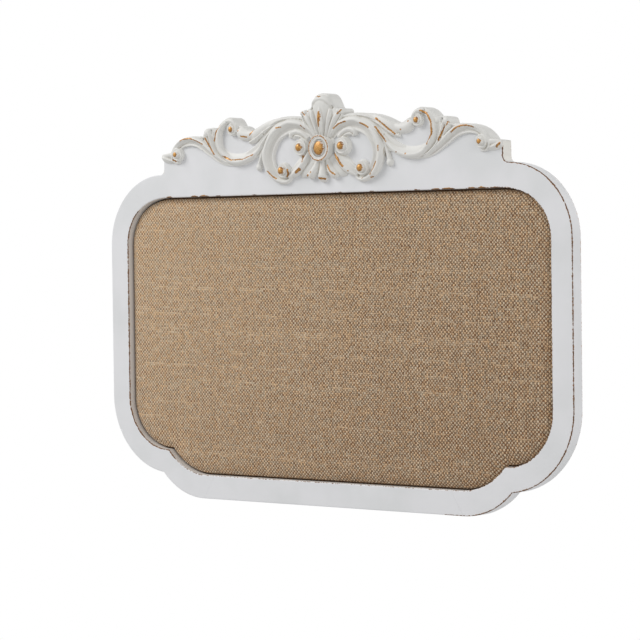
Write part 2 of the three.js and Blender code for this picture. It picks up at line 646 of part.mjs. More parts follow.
// Soft panel: each layer is a crowned board that follows the opening's outline
function crowned(inset, back, edge, top, round = 0) {
  const rings = [ringAt(openingOutline(-inset), back), ringAt(openingOutline(-inset), edge + round)];
  if (round > 0) rings.push(ringAt(openingOutline(-inset - round), edge));
  for (let i = 1; i <= ROLL_STEPS; i += 1) {
    const share = i / ROLL_STEPS;
    const reached = CROWN_SHARE * Math.sqrt(1 - (1 - share) ** 2);
    const outline = openingOutline(-inset - round - ROLL_WIDTH * share);
    rings.push(ringAt(outline, THREE.MathUtils.lerp(edge, top, reached)));
  }
  const middle = OPENING_TOP - (OPENING_TOP - RIM_WIDTH) / 2;
  const centre = openingOutline(-inset - round - ROLL_WIDTH).map((point) => new THREE.Vector2(
    point.x * CROWN_CENTRE_SHARE,
    THREE.MathUtils.lerp(middle, point.y, CROWN_CENTRE_SHARE),
  ));
  rings.push(ringAt(centre, top));
  return skin(rings);
}

function burlapCover() {
  const outer = manifoldOf(crowned(PANEL_GAP, BACKING_FRONT, WADDING_RIM - COVER_WALL, WADDING_TOP - COVER_WALL,
    BURLAP_ROUND));
  const inside = manifoldOf(crowned(PANEL_GAP + BURLAP_THICKNESS, CORK_BACK, WADDING_RIM - SEAT_GAP,
    WADDING_TOP - SEAT_GAP, INNER_ROUND));
  const window = manifoldOf(board(openingOutline(-PANEL_GAP - HEM_WIDTH), CORK_BACK - SEAT_GAP,
    BACKING_FRONT + OVERRUN));
  return geometryOf(cut(outer, [inside, window]));
}

// The assembly
const finishes = {
  paint: { color: 0xdcddde, roughness: 0.55, metalness: 0 },
  resin: { color: 0xdad9d3, roughness: 0.5, metalness: 0 },
  beech: { color: 0xc9a578, roughness: 0.7, metalness: 0 },
  burlap: { color: 0xb39a7e, roughness: 0.95, metalness: 0 },
  wadding: { color: 0xefece4, roughness: 1, metalness: 0 },
  cork: { color: 0xb98a58, roughness: 0.9, metalness: 0 },
  hardboard: { color: 0x7a5a3c, roughness: 0.8, metalness: 0 },
  steel: { color: 0xb9bcc0, roughness: 0.35, metalness: 1 },
  rubber: { color: 0x2c2c2c, roughness: 0.8, metalness: 0 },
};

const pinBoard = new THREE.Group();
const bench = new THREE.Group();
bench.position.set(0, -WALL_DEPTH, -HOOK_HEIGHT);
pinBoard.add(bench);

function place(name, geometry, finish, { x = 0, y = 0, z = 0, turn = 0 } = {}) {
  const mesh = new THREE.Mesh(geometry, new THREE.MeshStandardMaterial(finishes[finish]));
  mesh.name = name;
  mesh.position.set(x, y, z);
  mesh.rotation.y = turn;
  bench.add(mesh);
  return mesh;
}

// Hardware places
const hangers = [{ name: 'left', x: -HANGER_SPAN }, { name: 'right', x: HANGER_SPAN }];

// Frame
const sockets = dowelPlaces.map((spot) => manifoldOf(dowel(spot, SEAT_GAP)));
const pilots = [
  ...buttonPlaces.map(({ x, z }) => screwHole(x, z, BUTTON_SCREW_SEAT)),
  ...hangers.map(({ x }) => screwHole(x, STRAP_SCREW_HEIGHT, STRAP_TOP)),
];
const blank = cut(frameBlank(), [...sockets, ...pilots]);
const topRail = blank.intersect(prism(topRegion(GLUE_LINE / 2)));
const bottomRail = blank.intersect(prism(bottomRegion(GLUE_LINE / 2)));
const rightStile = cut(blank.intersect(sideRegion()), [
  prism(topRegion(-GLUE_LINE / 2)),
  prism(bottomRegion(-GLUE_LINE / 2)),
]);
const rightStileGeometry = geometryOf(rightStile);
place('top_rail', geometryOf(topRail), 'paint');
place('bottom_rail', geometryOf(bottomRail), 'paint');
place('right_stile', rightStileGeometry, 'paint');
place('left_stile', mirrored(rightStileGeometry), 'paint');
for (const spot of dowelPlaces) place(spot.name, dowel(spot), 'beech');

// Crest
const arm = geometryOf(armCasting().subtract(centreCasting(SEAT_GAP)));
place('crest_centre', geometryOf(centreCasting()), 'resin');
place('crest_arm_right', arm, 'resin');
place('crest_arm_left', mirrored(arm), 'resin');

// Panel
place('burlap_cover', burlapCover(), 'burlap');
place('wadding', crowned(WADDING_INSET, CORK_FRONT, WADDING_RIM, WADDING_TOP), 'wadding');
place('cork_board', board(openingOutline(-CORK_INSET), CORK_FRONT, CORK_BACK, CORK_BEVEL), 'cork');
place('backing_board', board(openingOutline(REBATE_WIDTH - BACKING_PLAY), BACKING_FRONT, FRAME_THICKNESS),
  'hardboard');

// Turn buttons
const button = buttonGeometry();
const screw = screwGeometry();
for (const { name, x, z, turn } of buttonPlaces) {
  place(`turn_button_${name}`, button, 'steel', { x, y: BUTTON_BACK, z, turn });
  place(`button_screw_${name}`, screw, 'steel', { x, y: BUTTON_SCREW_SEAT, z });
}

// Hangers
const strap = strapGeometry();
const ring = ringGeometry();
for (const { name, x } of hangers) {
  place(`hanger_strap_${name}`, strap, 'steel', { x, y: KNUCKLE_DEPTH, z: KNUCKLE_HEIGHT });
  place(`hanger_ring_${name}`, ring, 'steel', { x, y: KNUCKLE_DEPTH, z: KNUCKLE_HEIGHT });
  place(`hanger_screw_${name}`, screw, 'steel', { x, y: STRAP_TOP, z: STRAP_SCREW_HEIGHT });
}

// Bumpers
const bumperAway = OPENING_LOBE_RADIUS + BUMPER_INSET;
const bumperX = OPENING_HALF_WIDTH - OPENING_LOBE_RADIUS + bumperAway * Math.cos(BUMPER_ANGLE);
const bumperZ = OPENING_LOBE_HEIGHT + bumperAway * Math.sin(BUMPER_ANGLE);
const bumperProfile = [
  [0, 0],
  [BUMPER_RADIUS, 0],
  [BUMPER_RADIUS - BUMPER_DRAFT, BUMPER_HEIGHT],
  [0, BUMPER_HEIGHT],
].map(([x, y]) => new THREE.Vector2(x, y));
const bumper = new THREE.LatheGeometry(bumperProfile, ROUND_FACETS);
place('bumper_right', bumper, 'rubber', { x: bumperX, y: FRAME_THICKNESS, z: bumperZ });
place('bumper_left', bumper, 'rubber', { x: -bumperX, y: FRAME_THICKNESS, z: bumperZ });

export default pinBoard;
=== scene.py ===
# %% [markdown]
# # A burlap pin board in a distressed white frame
# A flat wooden frame with round corners holds a cork panel that is padded and
# covered in burlap. A cast scroll crest is glued on top of it, and the whole frame
# is painted white, then rubbed back along its edges. The engineering model is
# loaded first and stays as it is: every new piece is made at its place, and the
# plain solid it stands for is hidden.

# %% Load the engineering model
import math
import bpy
import numpy as np
from mathutils import Matrix, Vector
from mathutils.bvhtree import BVHTree
from mathutils.geometry import delaunay_2d_cdt
from mathutils.kdtree import KDTree


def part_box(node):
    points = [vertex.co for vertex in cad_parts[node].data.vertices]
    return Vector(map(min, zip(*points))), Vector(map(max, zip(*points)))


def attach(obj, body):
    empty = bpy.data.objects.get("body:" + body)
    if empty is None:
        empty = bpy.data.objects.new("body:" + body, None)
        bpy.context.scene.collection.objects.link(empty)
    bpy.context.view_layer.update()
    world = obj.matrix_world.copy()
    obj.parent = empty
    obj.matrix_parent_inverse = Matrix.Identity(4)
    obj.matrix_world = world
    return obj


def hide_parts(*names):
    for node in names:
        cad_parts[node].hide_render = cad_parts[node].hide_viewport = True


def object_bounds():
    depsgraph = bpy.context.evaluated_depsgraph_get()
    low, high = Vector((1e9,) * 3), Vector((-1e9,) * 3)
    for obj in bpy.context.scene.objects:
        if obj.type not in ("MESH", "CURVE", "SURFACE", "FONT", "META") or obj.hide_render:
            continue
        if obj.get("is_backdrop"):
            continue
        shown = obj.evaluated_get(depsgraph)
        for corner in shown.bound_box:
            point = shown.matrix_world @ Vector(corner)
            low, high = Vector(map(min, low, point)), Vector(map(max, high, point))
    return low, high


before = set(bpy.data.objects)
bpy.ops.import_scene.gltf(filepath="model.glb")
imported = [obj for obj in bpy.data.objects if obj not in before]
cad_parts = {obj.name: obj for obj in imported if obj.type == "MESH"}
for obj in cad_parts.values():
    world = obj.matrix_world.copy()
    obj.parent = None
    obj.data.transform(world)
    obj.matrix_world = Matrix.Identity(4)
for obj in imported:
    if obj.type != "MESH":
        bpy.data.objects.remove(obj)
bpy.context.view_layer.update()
bpy.ops.object.select_all(action="DESELECT")
print("pieces in the model:", len(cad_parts))

# %% [markdown]
# Drawings of the frame give each point as three lengths in millimetres: to the
# right of the middle, back from the frame's front face, and up from its bottom
# edge. One function turns such a point into metres in the model's own axes, whose
# origin is on the wall at the height of the hooks.

# %% Lengths and places
MM = 0.001
FRONT = -20.0      # the frame's front face stands 20 mm off the wall
BOTTOM = -364.8    # its bottom edge hangs this far below the hooks
THICKNESS = 15.0


def place(x, depth, height):
    return Vector((x * MM, (FRONT + depth) * MM, (BOTTOM + height) * MM))


def measured(mesh):
    """Every vertex of a mesh as right, depth and height in millimetres."""
    flat = np.empty(len(mesh.vertices) * 3)
    mesh.vertices.foreach_get("co", flat)
    points = flat.reshape(-1, 3) / MM
    return points - np.array([0, FRONT, BOTTOM])


print("front face at y =", FRONT * MM, "m")

# %% [markdown]
# Short helpers keep the modelling readable. One selects an object and makes it
# active, as a click does, and one puts new data into the scene. Others apply a
# modifier straight away, run tools on a whole mesh in edit mode, or shade it smooth.

# %% Modelling helpers
def pick(*objects):
    bpy.ops.object.select_all(action="DESELECT")
    for thing in objects:
        thing.select_set(True)
    bpy.context.view_layer.objects.active = objects[0]
    return objects[0]


def new_object(name, data):
    made = bpy.data.objects.new(name, data)
    bpy.context.scene.collection.objects.link(made)
    return pick(made)


def copy_of(piece, name):
    twin = piece.copy()
    twin.data = piece.data.copy()
    twin.name = name
    bpy.context.scene.collection.objects.link(twin)
    return twin


def modify(piece, kind, **settings):
    pick(piece)
    modifier = piece.modifiers.new(kind.title(), kind)
    for name, value in settings.items():
        setattr(modifier, name, value)
    bpy.ops.object.modifier_apply(modifier=modifier.name)
    return piece


def edit(piece, *steps):
    """Run tools of edit mode on the whole mesh; each step is a tool and its settings."""
    pick(piece)
    bpy.ops.object.mode_set(mode="EDIT")
    for tool, settings in steps:
        bpy.ops.mesh.select_all(action="SELECT")
        tool(**settings)
    bpy.ops.object.mode_set(mode="OBJECT")
    return piece


def smooth(piece, degrees):
    """Smooth shading that keeps an edge sharp where it turns by more than the angle."""
    pick(piece)
    bpy.ops.object.shade_smooth_by_angle(angle=math.radians(degrees))


OUTWARD = bpy.ops.mesh.normals_make_consistent, {"inside": False}

# %% [markdown]
# Each finished piece is handed over in one place: it gets its finish, rides on its
# body, and the plain solid it stands for is hidden. Values that a finish needs, such as
# how near a point lies to an edge, are stored on the vertices.

# %% Store a value, hand a piece over
def store(piece, name, values):
    attribute = piece.data.attributes.new(name, "FLOAT", "POINT")
    attribute.data.foreach_set("value", np.asarray(values, dtype=np.float32))


def coat(piece, material):
    piece.data.materials.clear()
    piece.data.materials.append(material)


def hand_over(piece, body, slot, material, *nodes):
    coat(piece, material)
    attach(piece, body)
    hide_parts(*nodes)
    print(piece.name, len(piece.data.polygons), "faces")


# %% [markdown]
# Colours are written as they are picked on a screen, in sRGB hex. Blender mixes
# light in linear values, so one function converts them. A material is a tree of
# nodes, and one small function adds any node: it sets the node's own settings,
# fills or links its inputs and gives back the output that the next node needs. The
# kinds of nodes and the settings that come again and again get short names.

# %% Material helpers
def colour(code):
    channels = [int(code[i:i + 2], 16) / 255 for i in (0, 2, 4)]
    linear = [c / 12.92 if c <= 0.04045 else ((c + 0.055) / 1.055) ** 2.4 for c in channels]
    return (*linear, 1.0)


def add(tree, kind, inputs=(), output=0, **settings):
    made = tree.nodes.new(kind)
    for name, value in settings.items():
        setattr(made, name, value)
    for key, value in inputs.items() if isinstance(inputs, dict) else enumerate(inputs):
        if isinstance(value, bpy.types.NodeSocket):
            tree.links.new(value, made.inputs[key])
        else:
            made.inputs[key].default_value = value
    return made.outputs[output] if made.outputs else made


def new_material(name):
    material = bpy.data.materials.new(name)
    material.use_nodes = True
    material.node_tree.nodes.clear()
    return material, material.node_tree


MATH, RANGE, NOISE, MIX = "ShaderNodeMath", "ShaderNodeMapRange", "ShaderNodeTexNoise", "ShaderNodeMix"
BUMP, SURFACE, OUTPUT = "ShaderNodeBump", "ShaderNodeBsdfPrincipled", "ShaderNodeOutputMaterial"
PLACES, STORED, SPLIT = "ShaderNodeTexCoord", "ShaderNodeAttribute", "ShaderNodeSeparateXYZ"
TIMES, PLUS, TIMES_PLUS = ({"operation": name} for name in ("MULTIPLY", "ADD", "MULTIPLY_ADD"))
SMOOTH, COLOURS = {"interpolation_type": "SMOOTHSTEP"}, {"output": 2, "data_type": "RGBA"}
print("white paint in linear light:", [round(c, 3) for c in colour("E6E6E6")[:3]])

# %% [markdown]
# The board hangs on a wall, so the stage is only a pale floor far below it. The
# picture shows a pure white background: the world is white to the camera and to
# reflections, but lights the object with a dimmer grey. Large soft lamps give the
# plain light of a studio, a little stronger from the left.

# %% Camera
YAW, TILT, LEAN = math.radians(39.76), math.radians(1.53), math.radians(-0.71)
EYE, AIM = Vector((1.714, -2.090, -0.1008)), Vector((0, 0, -0.15))
LENS, SENSOR = 147.54, 36    # in millimetres
forward = Vector((-math.sin(YAW) * math.cos(TILT), math.cos(YAW) * math.cos(TILT), -math.sin(TILT)))
level = Vector((math.cos(YAW), math.sin(YAW), 0))
upward = level.cross(forward)
right = level * math.cos(LEAN) + upward * math.sin(LEAN)
top = upward * math.cos(LEAN) - level * math.sin(LEAN)
bpy.ops.object.camera_add(location=EYE)
camera = bpy.context.object
camera.matrix_world = Matrix.Translation(EYE) @ Matrix((right, top, -forward)).transposed().to_4x4()
camera.data.sensor_width, camera.data.lens = SENSOR, LENS
bpy.context.scene.camera = camera
bpy.context.scene.view_settings.view_transform = "Standard"
print("camera", round((EYE - AIM).length, 2), "m from the board")

# %% Floor
bpy.ops.mesh.primitive_plane_add(size=9, location=(0, -0.6, -1.45))
floor = bpy.context.object
floor.name = "floor"
pale, tree = new_material("pale_floor")
rays = add(tree, "ShaderNodeLightPath").node.outputs
matte = add(tree, "ShaderNodeBsdfDiffuse", {"Color": colour("F4F4F4")})
glow = add(tree, "ShaderNodeEmission", {"Color": colour("FFFFFF"), "Strength": 0.3})
lit = add(tree, "ShaderNodeAddShader", [matte, glow])
seen = add(tree, "ShaderNodeMixShader", [rays["Is Camera Ray"], matte, lit])
add(tree, OUTPUT, [seen])
floor.data.materials.append(pale)
floor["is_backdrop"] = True
print("the floor is", round(floor.dimensions.x, 1), "m wide")

# %% World
WHITE, DIM = 1.0, 0.4    # how strong it is to the camera, and as a light
world = bpy.data.worlds.new("studio")
bpy.context.scene.world = world
world.use_nodes = True
tree = world.node_tree
tree.nodes.clear()
rays = add(tree, "ShaderNodeLightPath").node.outputs
direct = rays["Is Camera Ray"]
for kind in ("Is Glossy Ray", "Is Transmission Ray"):
    direct = add(tree, MATH, [direct, rays[kind]], operation="MAXIMUM")
dim, bright = (add(tree, "ShaderNodeBackground", {"Color": colour("FFFFFF"), "Strength": strength})
               for strength in (DIM, WHITE))
backdrop = add(tree, "ShaderNodeMixShader", [direct, dim, bright])
add(tree, "ShaderNodeOutputWorld", [backdrop])
print("world", world.name, "with", len(tree.nodes), "nodes")

# %% Lamps
LAMPS = {    # place, size in metres and power in watts
    "soft_key": ((-1.8, -1.5, 1.6), 1.3, 47),
    "soft_fill": ((2.5, -0.9, 0.5), 1.8, 22),
    "soft_back": ((0.6, 2.4, 0.8), 1.8, 16),
}
for name, (spot, size, power) in LAMPS.items():
    bpy.ops.object.light_add(type="AREA", location=spot)
    light = bpy.context.object
    light.name = name
    light.data.shape, light.data.size, light.data.energy = "SQUARE", size, power
    light.rotation_euler = (AIM - Vector(spot)).to_track_quat("-Z", "Y").to_euler()
print("lamps:", list(LAMPS))

# %% [markdown]
# ## The outlines
# The frame is drawn on paper before it is cut. Its outside runs along the bottom
# into a small hollow foot, turns out again at a cusp into a big lobe, goes up to a
# round shoulder and steps up to the crest. The opening follows the same lines with
# smaller curves. Both are arcs, so they are worked out from their centres and radii
# and then given a point every few millimetres, which keeps them smooth.

# %% Arcs and crossings
def arc(centre, radius, start, end, steps):
    angles = np.linspace(start, end, steps + 1)
    return [(centre[0] + radius * math.cos(a), centre[1] + radius * math.sin(a)) for a in angles]


def circle(x, z, radius, steps):
    return arc((x, z), radius, 0, 2 * math.pi, steps)[1:]


def crossing(a, radius_a, b, radius_b):
    """Where two circles meet, on the lower and outer side."""
    apart = math.dist(a, b)
    along = (apart ** 2 + radius_a ** 2 - radius_b ** 2) / (2 * apart)
    off = math.sqrt(radius_a ** 2 - along ** 2)
    ux, uz = (b[0] - a[0]) / apart, (b[1] - a[1]) / apart
    return a[0] + ux * along - uz * off, a[1] + uz * along + ux * off


def mirrored_loop(half):
    """The right half of an outline from bottom to top, closed by its mirror image."""
    return list(half) + [(-x, z) for x, z in reversed(half) if x > 0.001]


def lobe_and_foot(lobe, lobe_radius, foot, foot_radius):
    """The foot from the bottom edge to the cusp, then the lobe from there to its side."""
    cusp = crossing(lobe, lobe_radius, foot, foot_radius)
    foot_end = math.atan2(cusp[1] - foot[1], cusp[0] - foot[0])
    lobe_start = math.atan2(cusp[1] - lobe[1], cusp[0] - lobe[0])
    return arc(foot, foot_radius, -math.pi / 2, foot_end, 16) + arc(lobe, lobe_radius, lobe_start, 0, 26)[1:]


# %% Outside of the frame
SHOULDER = (229.8, 272)    # centre of the round shoulder
CREST_EDGE = [
    (224.5, 368.4), (212, 370), (206, 376.5), (198.5, 381.6), (188.5, 385.2), (178, 386.6), (168, 386.4),
    (162.6, 386.2), (162, 390), (159.4, 393.4), (153, 394.8), (147.6, 394.4), (143.6, 394.4), (140.4, 398.2),
    (135.4, 402), (128, 404.6), (122.6, 403.4), (118.6, 399.6), (116.4, 395.6), (110.4, 394.6), (104.6, 391.4),
    (98, 389.6), (90, 391.2), (82, 394.6), (73, 398.2), (62, 400.9), (48, 402.4), (36, 402.2), (27, 401.4),
    (28.2, 405), (26, 407.6), (21, 408), (17, 408.6), (14.8, 412), (12.6, 416.6), (9.8, 420.4), (5.6, 423.4),
    (0, 424.2),
]
CORNERS = {(224.5, 368.4), (212, 370), (162.6, 386.2), (143.6, 394.4), (116.4, 395.6), (27, 401.4)}


def softened(points, sharp, steps=4):
    """A smooth line through the points, broken at the sharp ones."""
    line = []
    for i in range(len(points) - 1):
        p1, p2 = Vector(points[i]), Vector(points[i + 1])
        p0 = p1 if i == 0 or points[i] in sharp else Vector(points[i - 1])
        p3 = p2 if i + 2 >= len(points) or points[i + 1] in sharp else Vector(points[i + 2])
        for k in range(steps):
            t = k / steps
            spot = 0.5 * (2 * p1 + (p2 - p0) * t + (2 * p0 - 5 * p1 + 4 * p2 - p3) * t * t
                          + (3 * p1 - p0 - 3 * p2 + p3) * t ** 3)
            line.append(tuple(spot))
    return line + [tuple(points[-1])]


crest_line = softened(CREST_EDGE, CORNERS)


def outside(crest_inset=0.0):
    base = lobe_and_foot((222, 108), 82.8, (172.5, 80), 80)
    shoulder = arc(SHOULDER, 75, 0, math.pi / 2, 24)
    step = arc((230.5, 353), 6, -math.pi / 2, -math.pi, 4)[1:]
    crest = crest_line
    if crest_inset:
        crest = []
        for i, here in enumerate(crest_line):
            before, after = crest_line[max(i - 1, 0)], crest_line[min(i + 1, len(crest_line) - 1)]
            along = (Vector(after) - Vector(before)).normalized()
            crest.append((here[0] - along.y * crest_inset, here[1] + along.x * crest_inset))
        crest = [(min(x, CREST_EDGE[0][0]), z) for x, z in crest[:-1]] + [(0, crest_line[-1][1] - crest_inset)]
    return mirrored_loop(base + shoulder + step + crest)


outer_loop = outside()
print("outline points:", len(outer_loop), "top at", max(z for _, z in outer_loop), "mm")

# %% Opening of the frame
CORNER, CORNER_TURN = (231.3, 272), math.radians(70)    # centre of the corner's circle, and where it ends
HEAD_RISE = 1.7        # the top edge lies this far above that circle


def opening(outward=0.0):
    base = lobe_and_foot((224.3, 106), 55.5 + outward, (169, 95), 70 + outward)
    radius, wider = 48.5 + outward, HEAD_RISE / (1 - math.sin(CORNER_TURN))
    corner = arc(CORNER, radius, 0, CORNER_TURN, 16)
    head_at = (CORNER[0] - wider * math.cos(CORNER_TURN), CORNER[1] - wider * math.sin(CORNER_TURN))
    head = arc(head_at, radius + wider, CORNER_TURN, math.pi / 2, 6)[1:]
    return mirrored_loop(base + corner + head)


print("opening:", round(2 * max(x for x, _ in opening())), "mm wide")

# %% [markdown]
# ## The wooden frame
# The real frame is routed from four pieces of board: a top rail that carries the
# crest's silhouette, two stiles and a bottom rail, doweled together. It is modelled
# the same way. Small flat parts start as a filled curve that is given a thickness.
# The frame itself is built from rings that follow its outlines, because paint and
# wear need clean rows of points along the edges, and then it is cut into its
# members, as on a band saw.

# %% A plate from drawn outlines
def curve_through(name, lines, closed=True, dimensions="2D"):
    """A curve of straight pieces through points (x, y, z) in metres."""
    curve = bpy.data.curves.new(name, "CURVE")
    curve.dimensions = dimensions
    for line in lines:
        spline = curve.splines.new("POLY")
        spline.points.add(len(line) - 1)
        spline.points.foreach_set("co", [c for point in line for c in (*point, 1)])
        spline.use_cyclic_u = closed
    return new_object(name, curve)


def on_paper(line):
    """Points (right, up) in millimetres, drawn flat in metres."""
    return [(x * MM, z * MM, 0) for x, z in line]


def plate(name, loops, front, back, rounding=0.0, steps=3):
    """A flat board between two depths. The first loop is its outside, others are holes."""
    board = curve_through(name, [on_paper(loop) for loop in loops])
    curve = board.data
    curve.fill_mode = "BOTH"
    curve.extrude = ((back - front) / 2 - rounding) * MM
    curve.bevel_depth = rounding * MM
    curve.bevel_resolution = steps
    curve.offset = -rounding * MM
    bpy.ops.object.convert(target="MESH")
    board.data.transform(Matrix.Rotation(math.pi / 2, 4, "X"))
    board.data.transform(Matrix.Translation(place(0, (front + back) / 2, 0)))
    return edit(board, (bpy.ops.mesh.remove_doubles, {"threshold": 0.00002}), OUTWARD)


def carve(piece, tool, operation="DIFFERENCE", solver="EXACT"):
    modify(piece, "BOOLEAN", object=tool, operation=operation, solver=solver)
    bpy.data.objects.remove(tool)


# %% Outlines with points along their sides
def sides_of(loop):
    """Each point of a closed outline with the next one."""
    loop = list(loop)
    return list(zip(loop, loop[1:] + loop[:1]))


def pieces_of(loop, step):
    """How many pieces, each about a step long, every side of an outline gets."""
    return [max(1, round(math.dist(a, b) / step)) for a, b in sides_of(loop)]


def divided(loop, pieces):
    return [(a[0] + (b[0] - a[0]) * k / count, a[1] + (b[1] - a[1]) * k / count)
            for (a, b), count in zip(sides_of(loop), pieces) for k in range(count)]


def filled(loop, step=2.5):
    """The same outline with points along its straight runs too."""
    return divided(loop, pieces_of(loop, step))


def shifted(loop, inward):
    """An outline moved to its inner side, corner by corner."""
    moved = []
    for before, here, after in zip(loop[-1:] + loop[:-1], loop, loop[1:] + loop[:1]):
        a = (Vector(here) - Vector(before)).normalized()
        b = (Vector(after) - Vector(here)).normalized()
        normal = Vector((-(a.y + b.y), a.x + b.x)).normalized()
        reach = inward / max(0.6, normal.dot(Vector((-a.y, a.x))))
        moved.append((here[0] + normal.x * reach, here[1] + normal.y * reach))
    return moved


mouth = opening()
MOUTH_PIECES, CLOTH_PIECES = pieces_of(mouth, 2.5), pieces_of(mouth, 4)


def mouth_ring(outward, pieces):
    """The opening moved outward, always with the same number of points."""
    return divided(opening(outward), pieces)


def inside(x, z, walls):
    crossed = [(a[0] + (z - a[1]) / (b[1] - a[1]) * (b[0] - a[0])) > x for a, b in walls if (a[1] > z) != (b[1] > z)]
    return sum(crossed) % 2 == 1


def tree_of(points):
    """A quick search for the nearest of many points, flat ones or in space."""
    found = KDTree(len(points))
    for i, point in enumerate(points):
        found.insert((*point, 0)[:3], i)
    found.balance()
    return found


print("points round the mouth:", sum(MOUTH_PIECES), "for the frame,", sum(CLOTH_PIECES), "for the cloth")

# %% A shell from rings and flat faces
class Shell:
    """Points and faces of a board that is built up ring by ring."""

    def __init__(self):
        self.points, self.faces = [], []

    def ring(self, loop, depth):
        start = len(self.points)
        self.points += [place(x, depth, z) for x, z in loop]
        return range(start, len(self.points))

    def sides(self, rings):
        for a, b in zip(rings, rings[1:]):
            self.faces += [(*near, *far[::-1]) for near, far in zip(sides_of(a), sides_of(b))]

    def fill(self, rings, depth, extra=()):
        """Triangles between the rings that also use the extra points."""
        ids = [i for ring in rings for i in ring]
        flat = [Vector((self.points[i].x / MM, self.points[i].z / MM - BOTTOM)) for i in ids]
        edges, at = [], 0
        for ring in rings:
            edges += sides_of(range(at, at + len(ring)))
            at += len(ring)
        walls = [(flat[a], flat[b]) for a, b in edges]
        spots, _, triangles, sources, _, _ = delaunay_2d_cdt(flat + [Vector(p) for p in extra], edges, [], 0, 1e-6)
        number = {}
        for i, spot in enumerate(spots):
            known = [k for k in sources[i] if k < len(ids)]
            if known:
                number[i] = ids[known[0]]
            else:
                number[i] = len(self.points)
                self.points.append(place(spot.x, depth, spot.y))
        for a, b, c in triangles:
            middle = (spots[a] + spots[b] + spots[c]) / 3
            if inside(middle.x, middle.y, walls):
                self.faces.append((number[a], number[b], number[c]))

    def build(self, name):
        mesh = bpy.data.meshes.new(name)
        mesh.from_pydata(self.points, [], self.faces)
        return edit(new_object(name, mesh), (bpy.ops.mesh.delete_loose, {}), OUTWARD)


# %% Places of the hardware
BUTTONS = {    # right, up, and how far the button is turned in degrees
    "top_left": (-110, 336.2, 180), "top_right": (110, 336.2, 180), "side_right": (293.8, 185, -90),
    "bottom_right": (110, 11, 0), "bottom_left": (-110, 11, 0), "side_left": (-293.8, 185, 90),
}
HANGERS = {"left": -203.2, "right": 203.2}
BUTTON_SEAT, STRAP_SEAT, STRAP_SCREW_HEIGHT = 16.6, 16.6, 340.5
SCREW_HOLE, SCREW_REACH = 1.8, 10.3
drilled = [(x, z, BUTTON_SEAT) for x, z, _ in BUTTONS.values()]
drilled += [(x, STRAP_SCREW_HEIGHT, STRAP_SEAT) for x in HANGERS.values()]
print(len(drilled), "screw holes")

# %% The whole frame as one board
BACKING_FRONT, REBATE, ARRIS, WEAR_DEPTH = 12.5, 8.0, 1.0, 3.2
quarter = [math.radians(a) for a in (0, 22.5, 45, 67.5, 90)]
front_arris = [(ARRIS * (1 - math.sin(a)), ARRIS * (1 - math.cos(a))) for a in quarter]
back_arris = [(inset, THICKNESS - depth) for inset, depth in reversed(front_arris)]
rim_line = filled(outside(0.9))
board = Shell()
rim_rows = [board.ring(shifted(rim_line, inset), depth)
            for inset, depth in front_arris + [(0, WEAR_DEPTH), (0, THICKNESS - WEAR_DEPTH)] + back_arris]
board.sides(rim_rows)
rebate_steps = [(0, WEAR_DEPTH), (0, BACKING_FRONT), (REBATE, BACKING_FRONT), (REBATE, THICKNESS)]
mouth_rows = [board.ring(mouth_ring(inset, MOUTH_PIECES), depth) for inset, depth in front_arris + rebate_steps]
board.sides(mouth_rows)
board.fill([rim_rows[0], mouth_rows[0]], 0,
           shifted(rim_line, WEAR_DEPTH) + mouth_ring(WEAR_DEPTH, MOUTH_PIECES))
hole_tops = []
for x, z, seat in drilled:
    rows = [board.ring(circle(x, z, SCREW_HOLE, 20), depth) for depth in (THICKNESS, seat - SCREW_REACH)]
    board.sides(rows)
    board.faces.append(tuple(rows[1]))
    hole_tops.append(rows[0])
board.fill([rim_rows[-1], mouth_rows[-1]] + hole_tops, THICKNESS)
frame_board = board.build("frame_board")
print("frame board:", len(frame_board.data.polygons), "faces")

# %% [markdown]
# The mitres between the top rail and the stiles run out from the corner's centre at
# 45 degrees and are filled under the paint. The bottom rail meets the stiles in
# leaning cuts at the feet, where a hairline has opened. Each cut is a plane, so the
# bisect tool makes it and closes the cut face.

# %% Cut the four members
GLUE, SCARF = 0.01, 0.05
MITRE = SHOULDER, (1, -1)              # a point on the cut and the direction that leaves the top rail
FOOT_CUT = (172.5, 0), (35, 21.7)      # the direction that leaves the bottom rail


def saw(piece, point, away, side, keep_beyond, gap, close=True):
    """Cut by an upright plane; away is its direction for the right half (side 1) or the left half (side -1)."""
    direction = Vector((away[0] * side, 0, away[1])).normalized()
    at = place(point[0] * side, 0, point[1]) + direction * gap * MM * (1 if keep_beyond else -1)
    edit(piece, (bpy.ops.mesh.bisect, {"plane_co": at, "plane_no": direction, "use_fill": close,
                                       "clear_inner": keep_beyond, "clear_outer": not keep_beyond}))


def rail(name, level, upper, cut_line, gap):
    piece = copy_of(frame_board, name)
    saw(piece, (0, level), (0, 1), 1, upper, 0, close=False)
    for side in (1, -1):
        saw(piece, *cut_line, side, False, gap)
    return piece


def stile(name, side):
    piece = copy_of(frame_board, name)
    saw(piece, (100, 0), (1, 0), side, True, 0, close=False)
    saw(piece, *MITRE, side, True, GLUE)
    saw(piece, *FOOT_CUT, side, True, SCARF)
    return piece


members = {
    "top_rail": rail("top_rail_board", 300, True, MITRE, GLUE),
    "bottom_rail": rail("bottom_rail_board", 100, False, FOOT_CUT, SCARF),
    "right_stile": stile("right_stile_board", 1),
    "left_stile": stile("left_stile_board", -1),
}
bpy.data.objects.remove(frame_board)
print({name: len(piece.data.polygons) for name, piece in members.items()})

# %% Sockets for the dowels
SOCKET_RADIUS, SOCKET_LENGTH = 2.8, 24.6


def bar(radius, length, at, lean=math.pi / 2, sides=48):
    """A round bar along X, or leaning from upright by an angle about Y."""
    bpy.ops.mesh.primitive_cylinder_add(vertices=sides, radius=radius * MM, depth=length * MM, location=at,
                                        rotation=(0, lean, 0))
    return bpy.context.object


